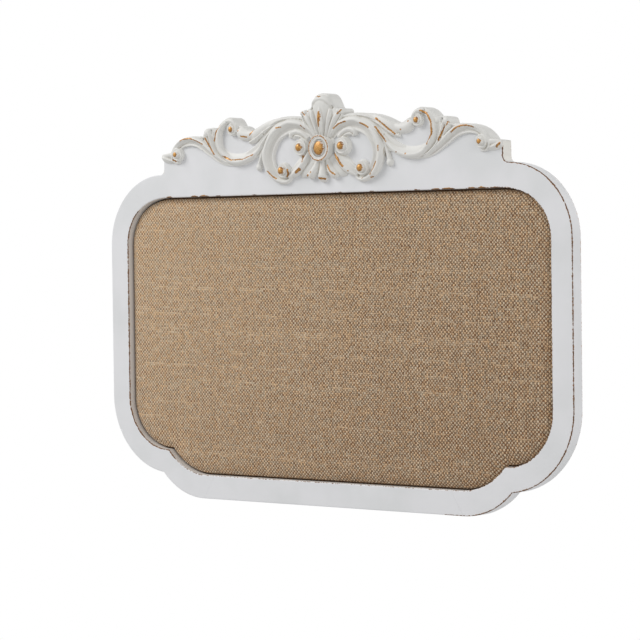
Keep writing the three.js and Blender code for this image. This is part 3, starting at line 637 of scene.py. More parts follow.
dowels = [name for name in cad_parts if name.startswith("dowel")]
for name in dowels:
    low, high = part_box(name)
    lean = math.pi / 2 if "bottom" in name else math.pi / 4 if "left" in name else -math.pi / 4
    for piece in members.values():
        corners = np.array([tuple(corner) for corner in piece.bound_box])
        if (corners.min(0) < np.array(high)).all() and (corners.max(0) > np.array(low)).all():
            carve(piece, bar(SOCKET_RADIUS, SOCKET_LENGTH, (low + high) / 2, lean, 24))
print("sockets cut for", len(dowels), "dowels")

# %% [markdown]
# Paint wears off first where a hand or a cloth rubs: along the arrises. To let the
# material know where those are, the front face has a second row of points 3.2 mm
# inside its edge, and the sides have one as far behind it. Each vertex stores how
# near it is to an arris and how hard the frame was rubbed there. A third value marks
# the wall of the opening, which the paint makes a darker beige grey.

# %% Where the edges are worn
WEAR_REACH = 2.4       # the wear fades out this far from an arris
FULLY_WORN = 0.2       # and is full up to here
# the frame's upper edge lies under the crest and isn't rubbed, so the rim leaves it out
rim_tree = tree_of([p for p in filled(outer_loop, 0.6) if not (p[1] > 354 and abs(p[0]) < 224)])
mouth_tree = tree_of(filled(opening(), 0.6))
# single rubs on the edges: right, up, radius and strength
RUBS = [(-217, 323, 4, 1.7), (-181, 322, 5, 1.8), (-167, 322, 7, 1.8), (-147, 322, 4, 1.5), (-96, 322, 4, 1.3),
        (20, 322, 5, 1.2), (62, 322, 4, 1.3), (118, 322, 3, 1.5), (142, 322, 5, 1.9), (158, 322, 7, 2.0),
        (187, 322, 4, 1.9), (199, 323, 4, 2.2), (216, 321, 6, 1.7), (232, 347, 5, 1.3)]


def rubbed(x, z, outer):
    """How hard the edge was rubbed at a place, from 0 to about 2."""
    if outer:
        base = 1.12 if x > 150 else 0.6 if x > -150 and z < 60 else 0.34
    else:
        base = 0.97 if x > 180 else 0.74 if z > 310 else 1.14 if x < -215 else 0.86
    spots = [(math.dist((x, z), (at_x, at_z)), radius, rub) for at_x, at_z, radius, rub in RUBS]
    return max([base] + [rub * (1 - 0.4 * far / radius) for far, radius, rub in spots if far < radius])


def add_wear(piece):
    edge, worn, inner = [], [], []
    for x, depth, z in measured(piece.data):
        rim, mouth = rim_tree.find((x, z, 0))[2], mouth_tree.find((x, z, 0))[2]
        beside = max(min(rim, mouth) - FULLY_WORN, 0)
        behind = max((min(depth, THICKNESS - depth) if rim < mouth else depth) - FULLY_WORN, 0)
        edge.append(max(0.0, 1 - math.hypot(beside, behind) / WEAR_REACH) * (depth < THICKNESS - 0.1))
        worn.append(rubbed(x, z, rim < mouth))
        inner.append(mouth < 0.6 and depth > 0.9)
    store(piece, "edge", edge)
    store(piece, "worn", worn)
    store(piece, "inner", inner)
    smooth(piece, 28)
    modify(piece, "WEIGHTED_NORMAL", keep_sharp=True)


for piece in members.values():
    add_wear(piece)
print("wear stored on", list(members))

# %% [markdown]
# ### Chalk paint over brown primer
# The frame is wood under a brown primer and a matte white paint. The paint scatters
# light softly, with a roughness near 0.5 and faint strokes of the brush. Where it
# is rubbed through, the dark brown primer shows as a thin broken line, with a
# tan rim where only a little paint is left. The line wanders because noise of a few
# millimetres is added to the stored nearness before it is cut off.

# %% Paint for wood: where it is gone
wood_paint, tree = new_material("chalk_paint_on_wood")
spot = add(tree, PLACES, output=3)
edge, worn, inner = (add(tree, STORED, output=2, attribute_name=name) for name in ("edge", "worn", "inner"))
coarse = add(tree, NOISE, {"Vector": spot, "Scale": 1 / (9 * MM), "Detail": 3.0})
fine = add(tree, NOISE, {"Vector": spot, "Scale": 1 / (2.2 * MM), "Detail": 4.0})
broken = add(tree, MATH, [fine, 1.7, -0.35], **TIMES_PLUS)
ragged = add(tree, MATH, [coarse, 0.55, broken], **TIMES_PLUS)
level_of_wear = add(tree, MATH, [add(tree, MATH, [edge, worn], **TIMES), 1.5, ragged], **TIMES_PLUS)
bare = add(tree, RANGE, [level_of_wear, 2.0, 2.06], **SMOOTH)
rim = add(tree, RANGE, [level_of_wear, 1.9, 2.02, 0, 0.7], **SMOOTH)
across, _, up = add(tree, SPLIT, [spot]).node.outputs
# painted light: the wall of the step is a warmer white, like the crest's paint, and is painted lighter than its
# lamps make it
beside = add(tree, RANGE, [add(tree, MATH, [across], operation="ABSOLUTE"), 223.6 * MM, 224.4 * MM])
above = add(tree, RANGE, [up, (BOTTOM + 347.5) * MM, (BOTTOM + 349.5) * MM])
step_wall_painted_light = add(tree, MATH, [beside, above], **TIMES)
# the wall of the opening is painted a darker beige grey
darker_opening_wall = add(tree, MATH, [inner, 0.55], **TIMES)
print("nodes so far:", len(tree.nodes))

# %% Paint for wood: colours and relief
cloud = add(tree, NOISE, {"Vector": spot, "Scale": 1 / (60 * MM), "Detail": 3.0})
cloudy = add(tree, RANGE, [cloud, 0.35, 0.65], **SMOOTH)
white = add(tree, MIX, {0: cloudy, 6: colour("E6E6E8"), 7: colour("DFE0E1")}, **COLOURS)
for share, code in ((darker_opening_wall, "CCC3B8"), (step_wall_painted_light, "E9E7E0"), (rim, "B58A60")):
    white = add(tree, MIX, {0: share, 6: white, 7: colour(code)}, **COLOURS)
speckle = add(tree, NOISE, {"Vector": spot, "Scale": 1 / (1.4 * MM), "Detail": 2.0})
dark = add(tree, MIX, {0: add(tree, RANGE, [speckle, 0.4, 0.62]), 6: colour("4A3122"), 7: colour("7C573C")},
           **COLOURS)
primer = add(tree, MIX, {0: add(tree, RANGE, [edge, 0.56, 0.78]), 6: colour("C39559"), 7: dark}, **COLOURS)
paint = add(tree, MIX, {0: bare, 6: white, 7: primer}, **COLOURS)
along = add(tree, "ShaderNodeMapping", {"Vector": spot, "Scale": (1, 1, 6)})
brushed = add(tree, NOISE, {"Vector": along, "Scale": 1 / (7 * MM), "Detail": 4.0})
relief = add(tree, MATH, [bare, -1.5, brushed], **TIMES_PLUS)
bump = add(tree, BUMP, {"Height": relief, "Distance": 0.06 * MM, "Strength": 0.5})
gloss = add(tree, RANGE, [bare, 0, 1, 0.52, 0.78])
add(tree, OUTPUT, [add(tree, SURFACE, {"Base Color": paint, "Roughness": gloss, "Normal": bump})])
for name, piece in members.items():
    hand_over(piece, "board", "painted_wood", wood_paint, name)

# %% [markdown]
# ## The carved crest
# The crest looks carved, but it is cast in resin from a carved master: C scrolls and
# S scrolls run out from a rosette under a palmette, in the acanthus style of old
# mirror frames. A carver would rough out each band and then cut its section, so
# every band is one curve whose section is swept along it and whose width changes
# from point to point. The bands are fused with a voxel remesh, which rounds their
# meeting lines the way the thick paint does.

# %% Sections of the bands, as shares of their half width and of their height
HALVES = {
    "round": [(-1, 0), (-0.93, 0.36), (-0.72, 0.69), (-0.38, 0.92), (0, 1)],
    "ridge": [(-1, 0), (-0.92, 0.3), (-0.6, 0.54), (-0.25, 0.8), (0, 1)],
    "flat": [(-1, 0), (-0.97, 0.7), (-0.85, 1)],
}
SECTIONS = {kind: half + [(-x, y) for x, y in reversed(half) if x] for kind, half in HALVES.items()}
SECTIONS["scoop"] = [(-0.52, 0), (-0.49, 0.48), (-0.38, 0.8), (-0.2, 0.97), (-0.03, 1), (0.09, 0.86), (0.2, 0.62),
                     (0.38, 0.42), (0.6, 0.35), (0.78, 0.42), (0.88, 0.5), (0.97, 0.42), (1.03, 0)]
SECTIONS["slope"] = [(-1.03, 0), (-0.84, 0.1), (-0.64, 0.24), (-0.42, 0.42), (-0.22, 0.64), (-0.09, 0.86),
                     (0.03, 1), (0.2, 0.96), (0.38, 0.78), (0.49, 0.45), (0.52, 0)]
SUNK = 0.6         # every band starts this far inside the board and is cut flush later
NARROWEST = 0.3    # half width of the finest tips


def swept(name, section, line, widths, sunk=0.0):
    """A section in millimetres that follows a line, scaled by the width at each point, and stood upright."""
    profile = curve_through("section", [on_paper(section)])
    made = curve_through(name, [on_paper(line)], closed=False)
    made.data.splines[0].points.foreach_set("radius", widths)
    made.data.bevel_mode, made.data.bevel_object, made.data.use_fill_caps = "OBJECT", profile, True
    bpy.ops.object.convert(target="MESH")
    made.data.transform(Matrix.Translation(place(0, sunk, 0)) @ Matrix.Rotation(math.pi / 2, 4, "X"))
    bpy.data.objects.remove(profile)
    return made


def band(section, height, points):
    """One carved band: points are (right, up, half width) in millimetres."""
    lift = (height + SUNK) / max(width for _, _, width in points)
    spots = softened(points, set(), 5)
    return swept("band", [(x, y * lift) for x, y in SECTIONS[section]], [(x, z) for x, z, _ in spots],
                 [max(width, NARROWEST) for _, _, width in spots], SUNK)


print("sections:", list(SECTIONS))

# %% Bands of the right half: (section, height, [(right, up, half width), ...])
SIDE_BANDS = [
    # low ground under the scrolls
    ("flat", 2.4, [(6, 384, 5), (14, 392, 7), (30, 394, 7), (48, 394, 7.5), (62, 389, 8), (75, 378, 8),
                   (88, 369, 7), (104, 362, 5)]),
    ("flat", 2.4, [(0, 352, 9), (16, 352, 9), (30, 350, 7), (42, 343, 5)]),
    # palmette
    ("round", 7.4, [(4.6, 379, 2.2), (7.8, 390, 3.2), (11, 400, 3.8), (12.6, 407.6, 3.2)]),
    ("round", 6.4, [(7.2, 379, 2.4), (12.8, 389.4, 3.6), (18.6, 398.6, 4.2), (23.4, 404.2, 3.4)]),
    ("ridge", 5.2, [(9.4, 379, 2.2), (16.4, 387.2, 3), (22.8, 395, 3.4), (26.8, 401.2, 2.8)]),
    ("flat", 4.4, [(12, 396, 4), (17, 404, 4.6), (20, 407, 3)]),
    ("flat", 2.8, [(142.6, 394, 3), (148, 391.6, 4), (151, 388.6, 2.4)]),
    # petals under the rosette
    ("slope", 6.4, [(6.4, 361, 5), (8, 353.6, 8), (10.8, 347.4, 10.6), (15, 342.4, 11.4), (18.4, 340.2, 9)]),
    ("round", 3.4, [(13, 356, 5), (18.4, 348, 6.4), (25, 343, 5.6), (31, 340.4, 2)]),
    ("slope", 6.8, [(17.6, 369, 5), (20, 361.6, 8.4), (24.4, 354.8, 10), (30.6, 348.6, 10), (38, 343.6, 8.4),
                    (46, 340, 6)]),
    # C scroll
    ("scoop", 7.2, [(10, 379, 4.5), (12, 382, 5.5), (18, 388, 7), (26, 392, 8.5), (34, 394, 9.5), (44, 394.5, 10),
                    (53, 391.5, 10), (60, 388, 10), (66, 383, 10), (71, 376, 10), (74.5, 368, 10), (75.5, 360, 10),
                    (73, 351, 9.5), (69, 344.5, 9), (64, 340, 8), (57, 336.5, 7), (50, 335.5, 6),
                    (44.5, 338, 5), (42.5, 343, 4), (45, 349, 3)]),
    ("round", 4.4, [(20, 378.6, 2.4), (27, 384, 3.2), (35, 386.2, 3.4), (41.6, 384.4, 3.6), (43.4, 380, 2.8)]),
    ("round", 4.0, [(44, 386.8, 1.8), (42.6, 383, 3), (42.6, 379.4, 2.6)]),
    ("ridge", 3.8, [(24, 377.4, 2), (31, 381, 2.6), (37, 381.6, 2.4), (40, 378.8, 1.8)]),
    # strands that run over into the S scroll
    ("ridge", 4.8, [(24, 398.6, 2), (34, 400, 2.6), (45, 400.2, 3), (58, 398.4, 3.2), (68, 395, 3), (76, 391, 2)]),
    ("round", 4.4, [(56, 398.6, 2.4), (66, 396.6, 4.4), (74, 394, 5.6), (82, 390.4, 6.4), (89, 386.6, 6.2),
                    (95, 382.6, 4.6), (99, 379.6, 2.4)]),
    ("ridge", 5.2, [(62, 395.6, 2), (72, 391.4, 2.8), (80, 386.6, 3.2), (88, 381.8, 3.2), (95, 378.4, 3),
                    (98.6, 377.2, 2.2)]),
    ("ridge", 5.6, [(30, 397, 2.6), (45, 397, 3.4), (57, 395, 3.8), (66, 389.6, 4), (72.5, 383.8, 4.2),
                    (80, 376.4, 4), (89, 368, 2.6), (97, 362.8, 0.8)]),
    ("round", 4.8, [(88, 388.6, 3), (95, 386, 4.6), (102, 384.6, 5.8), (108.6, 385.6, 6.4), (113, 388.4, 6),
                    (116, 391.6, 4)]),
    ("round", 3.8, [(79.5, 374, 1.8), (82, 366, 2.4), (84.8, 359, 2.8), (86.4, 353, 3)]),
    # S scroll
    ("slope", 5.8, [(66, 389.5, 4), (72.5, 383.5, 5), (80, 376, 6.4), (90, 367, 7.6), (97, 362.6, 8.4),
                    (109, 358.8, 9.4), (120, 358.6, 9.4), (129, 361.4, 8), (136, 367, 6), (140.6, 374, 4.4)]),
    ("scoop", 5.8, [(98, 361.8, 2.4), (109, 358.8, 4.6), (120, 358.6, 5.8), (129, 361.3, 7.2), (136, 365.6, 8.4),
                    (140.2, 370.4, 9), (142.8, 377, 9.4), (143, 386, 9.4), (140.4, 393, 9), (135.4, 398.4, 7.6),
                    (129.7, 400.8, 5.5), (124, 400.8, 4.2)]),
    ("round", 5.4, [(131, 400.6, 3.2), (123.6, 400.8, 3.4), (117.8, 396, 3.2), (117, 389, 2.6)]),
    # leaf that folds over between the scrolls
    ("ridge", 5.6, [(131, 356.8, 2), (140, 361.6, 3), (148.4, 369.8, 3.6), (152.8, 380, 4), (155.4, 388, 3.6),
                    (156.4, 391.6, 2.6)]),
    ("ridge", 5.8, [(143, 360.6, 2), (151.6, 370.2, 3), (155.6, 375.6, 3.8), (159, 381.6, 4.4), (162, 388, 4)]),
    # outer scroll and its tip
    ("scoop", 5.9, [(121, 355.4, 2), (129, 356.4, 3.2), (136, 358.6, 4), (143, 362.2, 4.8), (150, 367, 5.6),
                    (158, 373, 6.6), (165, 378, 7.2), (172, 381.5, 7.4), (180, 383.4, 7.4), (188, 383.4, 7.2),
                    (196, 381.4, 6.8), (203, 377, 6), (208, 371, 5.4), (209, 364, 4.6), (205, 359.6, 3.6),
                    (199, 359.4, 2.8)]),
    ("round", 4.2, [(166, 381, 3), (178, 383.6, 3.2), (190, 382.6, 3.2), (200, 378.4, 3.4), (207, 371.6, 3.4)]),
    ("ridge", 4.6, [(207, 361.2, 2.4), (214, 362.2, 4), (221, 364.6, 4.4), (226.4, 366.4, 3)]),
    ("round", 3.8, [(206, 367, 3), (214, 367.8, 4), (221, 367, 3.4), (226, 366.8, 2.6)]),
]
MIDDLE_BANDS = [
    ("flat", 2.4, [(0, 372, 16), (0, 384, 12), (0, 396, 18), (0, 404, 20)]),
    ("round", 7.4, [(0, 378, 7), (0, 390, 9.6), (0, 402, 12.4), (0, 410, 13.6), (0, 416, 13), (0, 421, 10.4)]),
    ("round", 10, [(0, 379, 2.2), (0, 388, 3.4), (0, 398, 4.1), (0, 408, 3.4), (0, 416, 2.4)]),
    ("round", 7.6, [(-12, 411, 2.6), (-9.4, 415, 3.6), (-4.8, 417.6, 4), (0, 418.4, 4.2), (4.8, 417.6, 4),
                    (9.4, 415, 3.6), (12, 411, 2.6)]),
    ("round", 7.0, [(0, 362, 3.4), (0, 352, 4), (0, 344, 5.4), (0, 339.6, 6)]),
]
right_half = [band(*row) for row in SIDE_BANDS]
print(len(right_half), "bands on each side")

# %% [markdown]
# The eyes of the scrolls and the rosette are turned shapes, so they start as
# spheres and rings. Each eye is a low dome with a ball on it and a raised ring
# round the ball.

# %% Eyes, rosette and leaf tips
def dome(x, z, radius, height, level=0.0):
    bpy.ops.mesh.primitive_uv_sphere_add(segments=32, ring_count=20, radius=1, location=place(x, -level, z))
    made = bpy.context.object
    made.scale = (radius * MM, height * MM, radius * MM)
    bpy.ops.object.transform_apply()
    return made


def ring(x, z, radius, wire, level):
    bpy.ops.mesh.primitive_torus_add(major_segments=48, minor_segments=12, major_radius=radius * MM,
                                     minor_radius=wire * MM, location=place(x, -level, z),
                                     rotation=(math.pi / 2, 0, 0))
    bpy.ops.object.transform_apply()
    return bpy.context.object


# right, up, radius and height of each eye, then the radius of its ball and how far that stands out
EYES = [(27.6, 369.5, 9.8, 8.0, 4.6, 10.3), (52.4, 346.5, 8.6, 6.4, 4.3, 9.8), (123, 392, 7.4, 5.2, 3.5, 7.2),
        (201.4, 367.8, 7.8, 5.8, 3.3, 8.8)]
LEAF_TIPS = [(25.6, 404.4, 3.2, 5.8), (22, 405, 3.2, 5.8), (158.6, 389.4, 5.6, 4.8), (17.6, 340.8, 3.4, 6),
             (86.6, 351, 4.4, 4.4), (98.6, 377.4, 2.0, 4.0)]
for x, z, radius, height, ball, proud in EYES:
    right_half += [dome(x, z, radius, height), dome(x, z, ball, ball * 0.8, proud - ball * 0.8),
                   ring(x, z, radius * 0.76, 0.9, height * 0.7)]
right_half += [dome(*tip) for tip in LEAF_TIPS]
pick(*right_half)
bpy.ops.object.join()
right_half = bpy.context.object
left_half = copy_of(right_half, "left_half")
pick(left_half)
bpy.ops.transform.mirror(constraint_axis=(True, False, False))
bpy.ops.object.transform_apply()
edit(left_half, (bpy.ops.mesh.flip_normals, {}))
middle = [band(*row) for row in MIDDLE_BANDS]
middle += [dome(0, 368, 14, 8.8), ring(0, 368, 12.5, 1.4, 8.6), ring(0, 368, 9.9, 0.7, 8.7),
           dome(0, 368, 8, 3.4, 6.9), dome(0, 339.4, 6.4, 6.8)]
print(len(EYES), "eyes on each side, and a rosette between them")

# %% [markdown]
# The crest's silhouette goes back over the edge of the board, so a thin wall follows
# the outline to the board's back. Everything is fused, smoothed a little, cut flush
# with the board and then parted into a centre and two arms, the three castings that
# were glued on.

# %% Fuse the carving
WALL = [(-1.9, -15.2), (-1.9, 1.6), (-1.2, 2.4), (-0.5, 2), (0, 0.8), (0, -15.2)]
VOXEL = 0.56
wall_line = crest_line + [(-x, z) for x, z in reversed(crest_line[:-1])]
wall = swept("edge_wall", WALL, wall_line, [1] * len(wall_line))
pick(right_half, left_half, wall, *middle)
bpy.ops.object.join()
crest = bpy.context.object
crest.name = "crest"
modify(crest, "REMESH", mode="VOXEL", voxel_size=VOXEL * MM)
modify(crest, "SMOOTH", factor=0.5, iterations=3)
print("fused crest:", len(crest.data.polygons), "faces")

# %% Cut it flush with the board
carve(crest, plate("board_below", [outside(0.8)], 0, THICKNESS + 3), solver="MANIFOLD")
carve(crest, plate("outline", [outer_loop], -12, THICKNESS + 2), "INTERSECT", "MANIFOLD")
crest_back, crest_top = (FRONT + THICKNESS) * MM, place(0, 0, crest_line[-1][1]).z
for vertex in crest.data.vertices:
    vertex.co.y = min(vertex.co.y, crest_back)
    vertex.co.z = min(vertex.co.z, crest_top)
print("cut crest:", len(crest.data.polygons), "faces", [round(v / MM, 1) for v in crest.dimensions])

# %% Part it into three castings
PARTING = 80    # the centre reaches this far to both sides


def part_of(name, *sides):
    """The crest between two upright planes; each side is (position, keep what lies beyond it)."""
    piece = copy_of(crest, name)
    for x, beyond in sides:
        saw(piece, (x, 0), (1, 0), 1, beyond, 0)
    modify(piece, "TRIANGULATE")
    smooth(piece, 40)
    return piece


castings = {
    "crest_centre": part_of("crest_centre_casting", (GLUE - PARTING, True), (PARTING - GLUE, False)),
    "crest_arm_left": part_of("crest_left_casting", (-PARTING - GLUE, False)),
    "crest_arm_right": part_of("crest_right_casting", (PARTING + GLUE, True)),
}
bpy.data.objects.remove(crest)
print({name: len(piece.data.polygons) for name, piece in castings.items()})

# %% [markdown]
# The raised parts were rubbed back to a gold size under the white: the balls of the
# eyes all over, and short strokes along the ridges. Each stroke is given where it is
# seen from the camera, on a sheet 6 mm in front of the board, and a ray finds the
# place on the casting behind it. A vertex stores how near it is to such a stroke,
# and also how deep it lies in a hollow, which the paint darkens as painted shade.

# %% Strokes where the crest is rubbed: (half width, points)
STROKES = [
    (3.8, [(-2.8, 397), (-2.6, 404)]), (2.6, [(-2.9, 390.6), (-2.9, 395)]), (2.0, [(-3.6, 421), (0, 420.6)]),
    (1.4, [(-26, 392), (-21, 388.6)]),
    (1.2, [(-60, 391), (-53, 391.4)]), (3.0, [(-22.6, 360), (-24.6, 355.6)]), (3.0, [(-33, 344.4), (-29, 347)]),
    (1.4, [(-72, 346.4), (-66, 341.8), (-60, 338.4)]), (2.0, [(-44.6, 347), (-43.6, 343), (-45, 340)]),
    (2.0, [(-18, 340.4), (-17, 340.8)]), (1.8, [(-13.6, 344)]), (1.9, [(-3.6, 337.6), (1, 337), (6, 336.4)]),
    (1.2, [(-16, 406)]), (1.2, [(-20.6, 402.6), (-23.6, 405.6)]),
    (1.5, [(17, 387.4), (24, 391.8), (33, 394)]), (1.8, [(52, 391.6), (57, 390), (62.4, 387)]),
    (1.4, [(75, 368), (75, 363)]), (1.9, [(72, 352), (69, 346), (64.4, 340)]), (1.6, [(54.6, 336.2)]),
    (1.8, [(66, 336.4), (68.4, 337)]), (2.4, [(18.6, 361.4), (21.6, 357), (25.4, 352), (28.6, 349)]),
    (1.6, [(9, 350), (12.6, 344), (18.6, 340.6)]), (1.5, [(22.6, 402.4), (28, 406)]),
    (1.7, [(73, 395.4), (80, 390.6), (88, 385), (97, 378.8)]), (1.8, [(72, 387), (78, 380), (85, 372)]),
    (1.4, [(36, 344)]), (1.4, [(-200, 381), (-191, 384), (-181, 384.6), (-172, 381.6), (-163, 377.6)]),
    (1.4, [(-159, 384), (-153, 376), (-146, 366.4)]), (1.6, [(-145, 381), (-143.4, 389), (-137, 396.6)]),
    (1.7, [(-134, 364), (-122, 359.6), (-106, 360), (-92, 364.4)]), (1.5, [(-112, 390)]),
    (1.5, [(-108, 384), (-100, 383)]), (1.3, [(-96, 385), (-90, 390)]), (1.8, [(-201, 361), (-205, 362.6)]),
    (1.8, [(-221, 362)]), (1.5, [(167, 378), (172, 382), (178, 384), (186, 384), (194, 382)]),
    (1.6, [(151, 371), (157, 380), (163, 388)]), (1.6, [(109.6, 359)]), (1.5, [(98, 361)]), (1.6, [(104, 383)]),
    (1.9, [(129, 401), (137, 397.6), (142, 389), (142.6, 378), (136.6, 368)]), (1.7, [(113.6, 391)]),
    (2.0, [(221.6, 362), (225, 365.4)]), (1.6, [(235, 347)]),
]
# the balls of the carving: right, up and radius, the same on both sides
BALLS = [(27.6, 369.5, 4.6), (52.4, 346.5, 4.3), (123, 392, 3.4), (201.4, 367.8, 2.9)]
SHEET, REACH = -6, 3.2    # depth of the sheet in millimetres, and the longest ray in metres
surface = [BVHTree.FromPolygons([tuple(v.co) for v in piece.data.vertices],
                                [tuple(f.vertices) for f in piece.data.polygons]) for piece in castings.values()]


def seen_on_casting(x, z):
    """The first point of the castings behind a place on the sheet, or none."""
    aim = (place(x, SHEET, z) - EYE).normalized()
    hits = [tree.ray_cast(EYE, aim) for tree in surface]
    hits = [(far, spot) for spot, _, _, far in hits if spot is not None and far < REACH]
    return min(hits, key=lambda hit: hit[0])[1] if hits else None


spots = []
for width, line in STROKES:
    for a, b in zip(line, line[1:] or line):
        steps = max(1, round(math.dist(a, b)))
        for k in range(steps + 1):
            hit = seen_on_casting(a[0] + (b[0] - a[0]) * k / steps, a[1] + (b[1] - a[1]) * k / steps)
            if hit is not None:
                spots.append((hit, width))
print(len(spots), "rubbed places")

# %% Store the rubs and the hollows
rub_tree = tree_of([hit for hit, _ in spots])


def ball_rub(x, depth, z):
    """The balls, and the outer ring of the rosette."""
    best = 0.0
    for ball_x, ball_z, radius in BALLS:
        if depth < -4.4:
            best = max(best, 1 - (math.hypot(abs(x) - ball_x, z - ball_z) / (radius * 1.16)) ** 2)
    out = math.hypot(x, z - 368)
    best = max(best, 1 - (math.hypot(x + 0.9, z - 368) / 9.8) ** 2) if depth < -7.9 and out < 8.4 else best
    return max(best, (1 - abs(out - 12.5) / 1.5) * 0.66) if depth < -8.2 else best


def finish_casting(piece):
    twin = modify(copy_of(piece, "smoothed"), "SMOOTH", factor=0.5, iterations=24)
    points, softer = measured(piece.data), measured(twin.data)
    normals = np.empty(len(points) * 3)
    piece.data.vertex_normals.foreach_get("vector", normals)
    hollow = ((softer - points) * normals.reshape(-1, 3)).sum(1)
    bpy.data.objects.remove(twin)
    rub = []
    for (x, depth, z), vertex in zip(points, piece.data.vertices):
        _, i, far = rub_tree.find(vertex.co)
        stroke = 0.86 * max(0.0, 1 - far / MM / (spots[i][1] * 1.12))
        rub.append(max(stroke, ball_rub(x, depth, z)))
    store(piece, "rub", rub)
    store(piece, "hollow", np.clip(hollow / 0.45, -1, 1))


for piece in castings.values():
    finish_casting(piece)
print("rubs and hollows stored on", list(castings))

# %% [markdown]
# ### Paint on cast resin
# The resin takes the same matte paint, and the many coats round off the carving.
# The hollows are painted darker and warmer, as painted shade. The rubbed places are
# gold size, ochre and brown in patches of a millimetre or two, with a faint tan rim,
# and noise makes their edges ragged. Where the rub is strongest, in the middle of the
# balls and strokes, the gold is painted lighter, and browner towards their edges:
# painted highlight and shade over the gold size's own patches.

# %% Paint for the crest
resin_paint, tree = new_material("chalk_paint_on_resin")
spot = add(tree, PLACES, output=3)
rub, hollow = (add(tree, STORED, output=2, attribute_name=name) for name in ("rub", "hollow"))
chips = add(tree, NOISE, {"Vector": spot, "Scale": 1 / (1.9 * MM), "Detail": 4.0, "Roughness": 0.65})
level_of_rub = add(tree, MATH, [chips, 1.15, rub], **TIMES_PLUS)
bare = add(tree, RANGE, [level_of_rub, 0.98, 1.04], **SMOOTH)
rim = add(tree, RANGE, [level_of_rub, 0.9, 1.0, 0, 0.5], **SMOOTH)
# painted shade: the hollows are painted a darker, warmer grey
hollow_painted_shade = add(tree, RANGE, [hollow, 0.0, 0.9], **SMOOTH)
white_with_painted_shade = add(tree, MIX, {0: hollow_painted_shade, 6: colour("DFDEDA"), 7: colour("BDB7AA")}, **COLOURS)
tan = add(tree, MIX, {0: rim, 6: white_with_painted_shade, 7: colour("BC9166")}, **COLOURS)
# painted highlight and shade: gold is lighter in the middle of balls and strokes, browner at their edges; the noise
# gives the gold size's own patches and painted glints
gold_patches_and_glints = add(tree, NOISE, {"Vector": spot, "Scale": 1 / (1.5 * MM), "Detail": 3.0, "Roughness": 0.6})
gold_share_and_highlight = add(tree, RANGE, [add(tree, MATH, [rub, 0.36, gold_patches_and_glints], **TIMES_PLUS), 0.52, 0.96], **SMOOTH)
gold = add(tree, MIX, {0: gold_share_and_highlight, 6: colour("7C4B1D"), 7: colour("CD9A52")}, **COLOURS)
paint = add(tree, MIX, {0: bare, 6: tan, 7: gold}, **COLOURS)
grainy = add(tree, NOISE, {"Vector": spot, "Scale": 1 / (1.6 * MM), "Detail": 3.0})
relief = add(tree, MATH, [bare, -1.2, add(tree, MATH, [grainy, 0.5], **TIMES)], **TIMES_PLUS)
bump = add(tree, BUMP, {"Height": relief, "Distance": 0.1 * MM, "Strength": 0.6})
gloss = add(tree, RANGE, [bare, 0, 1, 0.5, 0.4])
metallic = add(tree, MATH, [bare, 0.35], **TIMES)
add(tree, OUTPUT, [add(tree, SURFACE, {"Base Color": paint, "Roughness": gloss, "Normal": bump,
                                       "Metallic": metallic})])
for name, piece in castings.items():
    hand_over(piece, "board", "painted_resin", resin_paint, name)

# %% [markdown]
# ## The burlap panel
# Burlap is pulled over a thin sheet of wadding on a cork board, round its edge and
# onto its back. The wadding gives it a soft crown that rolls over at the rim. The
# cloth is built ring by ring, following the opening at a growing distance, and
# filled in the middle with a regular net. Each point also keeps its place in the
# flat cloth as a UV, measured along the surface, so that the threads run straight
# over the roll.

# %% Rings of the panel
GAP, HEM = 1.7, 20.0           # between panel and frame, and how much cloth lies on the back
ROUND, ROLL_WIDTH = 2.4, 17.0  # radius of the panel's edge, and the width of the roll inside it
EDGE_DEPTH, TOP_DEPTH = 6.1, 3.5
CROWN_FADE = 26                # the net in the middle rises over about this distance


def crown(share):
    """The rise of the roll from its start to its end: a quarter round, a little flattened."""
    return 0.82 * math.sqrt(1 - (1 - share) ** 2)


def padded_sheet(name, rings, spacing, rise):
    """Rings of (inset, depth) from the back to the front, closed in front by a net."""
    loops = [mouth_ring(-inset, CLOTH_PIECES) for inset, _ in rings]
    sheet = Shell()
    rows = [sheet.ring(loop, depth) for loop, (_, depth) in zip(loops, rings)]
    sheet.sides(rows)
    inner, limit = loops[-1], rings[-1][1]
    walls, close = sides_of(inner), tree_of(inner)
    # a net over the whole opening, less what lies outside the last ring or too close to it
    net = [(float(x), float(z)) for x in np.arange(-280, 281, spacing) for z in np.arange(28, 322, spacing)
           if inside(x, z, walls) and close.find((x, z, 0))[2] > spacing * 0.6]
    first = len(sheet.points)
    sheet.fill([rows[-1]], limit, net)
    for point in sheet.points[first:]:
        far = close.find((point.x / MM, point.z / MM - BOTTOM, 0))[2]
        point.y -= rise * (1 - math.exp(-far / CROWN_FADE)) * MM
    return sheet.build(name), loops


cloth_rings = [(GAP + HEM, 12.4), (GAP + 10, 12.4), (GAP + 0.4, 12.4), (GAP, 12)]
EDGE_RING = len(cloth_rings)    # where the cloth comes up the edge of the panel
cloth_rings += [(GAP, EDGE_DEPTH + ROUND)]
cloth_rings += [(GAP + ROUND * (1 - math.cos(a)), EDGE_DEPTH + ROUND * (1 - math.sin(a)))
                for a in np.linspace(0, math.pi / 2, 6)[1:]]
cloth_rings += [(GAP + ROUND + ROLL_WIDTH * k / 8, EDGE_DEPTH + (TOP_DEPTH - EDGE_DEPTH) * crown(k / 8))
                for k in range(1, 9)]
cover, loops = padded_sheet("burlap", cloth_rings, 5.0, 0.3)
print("burlap:", len(cover.data.vertices), "points")

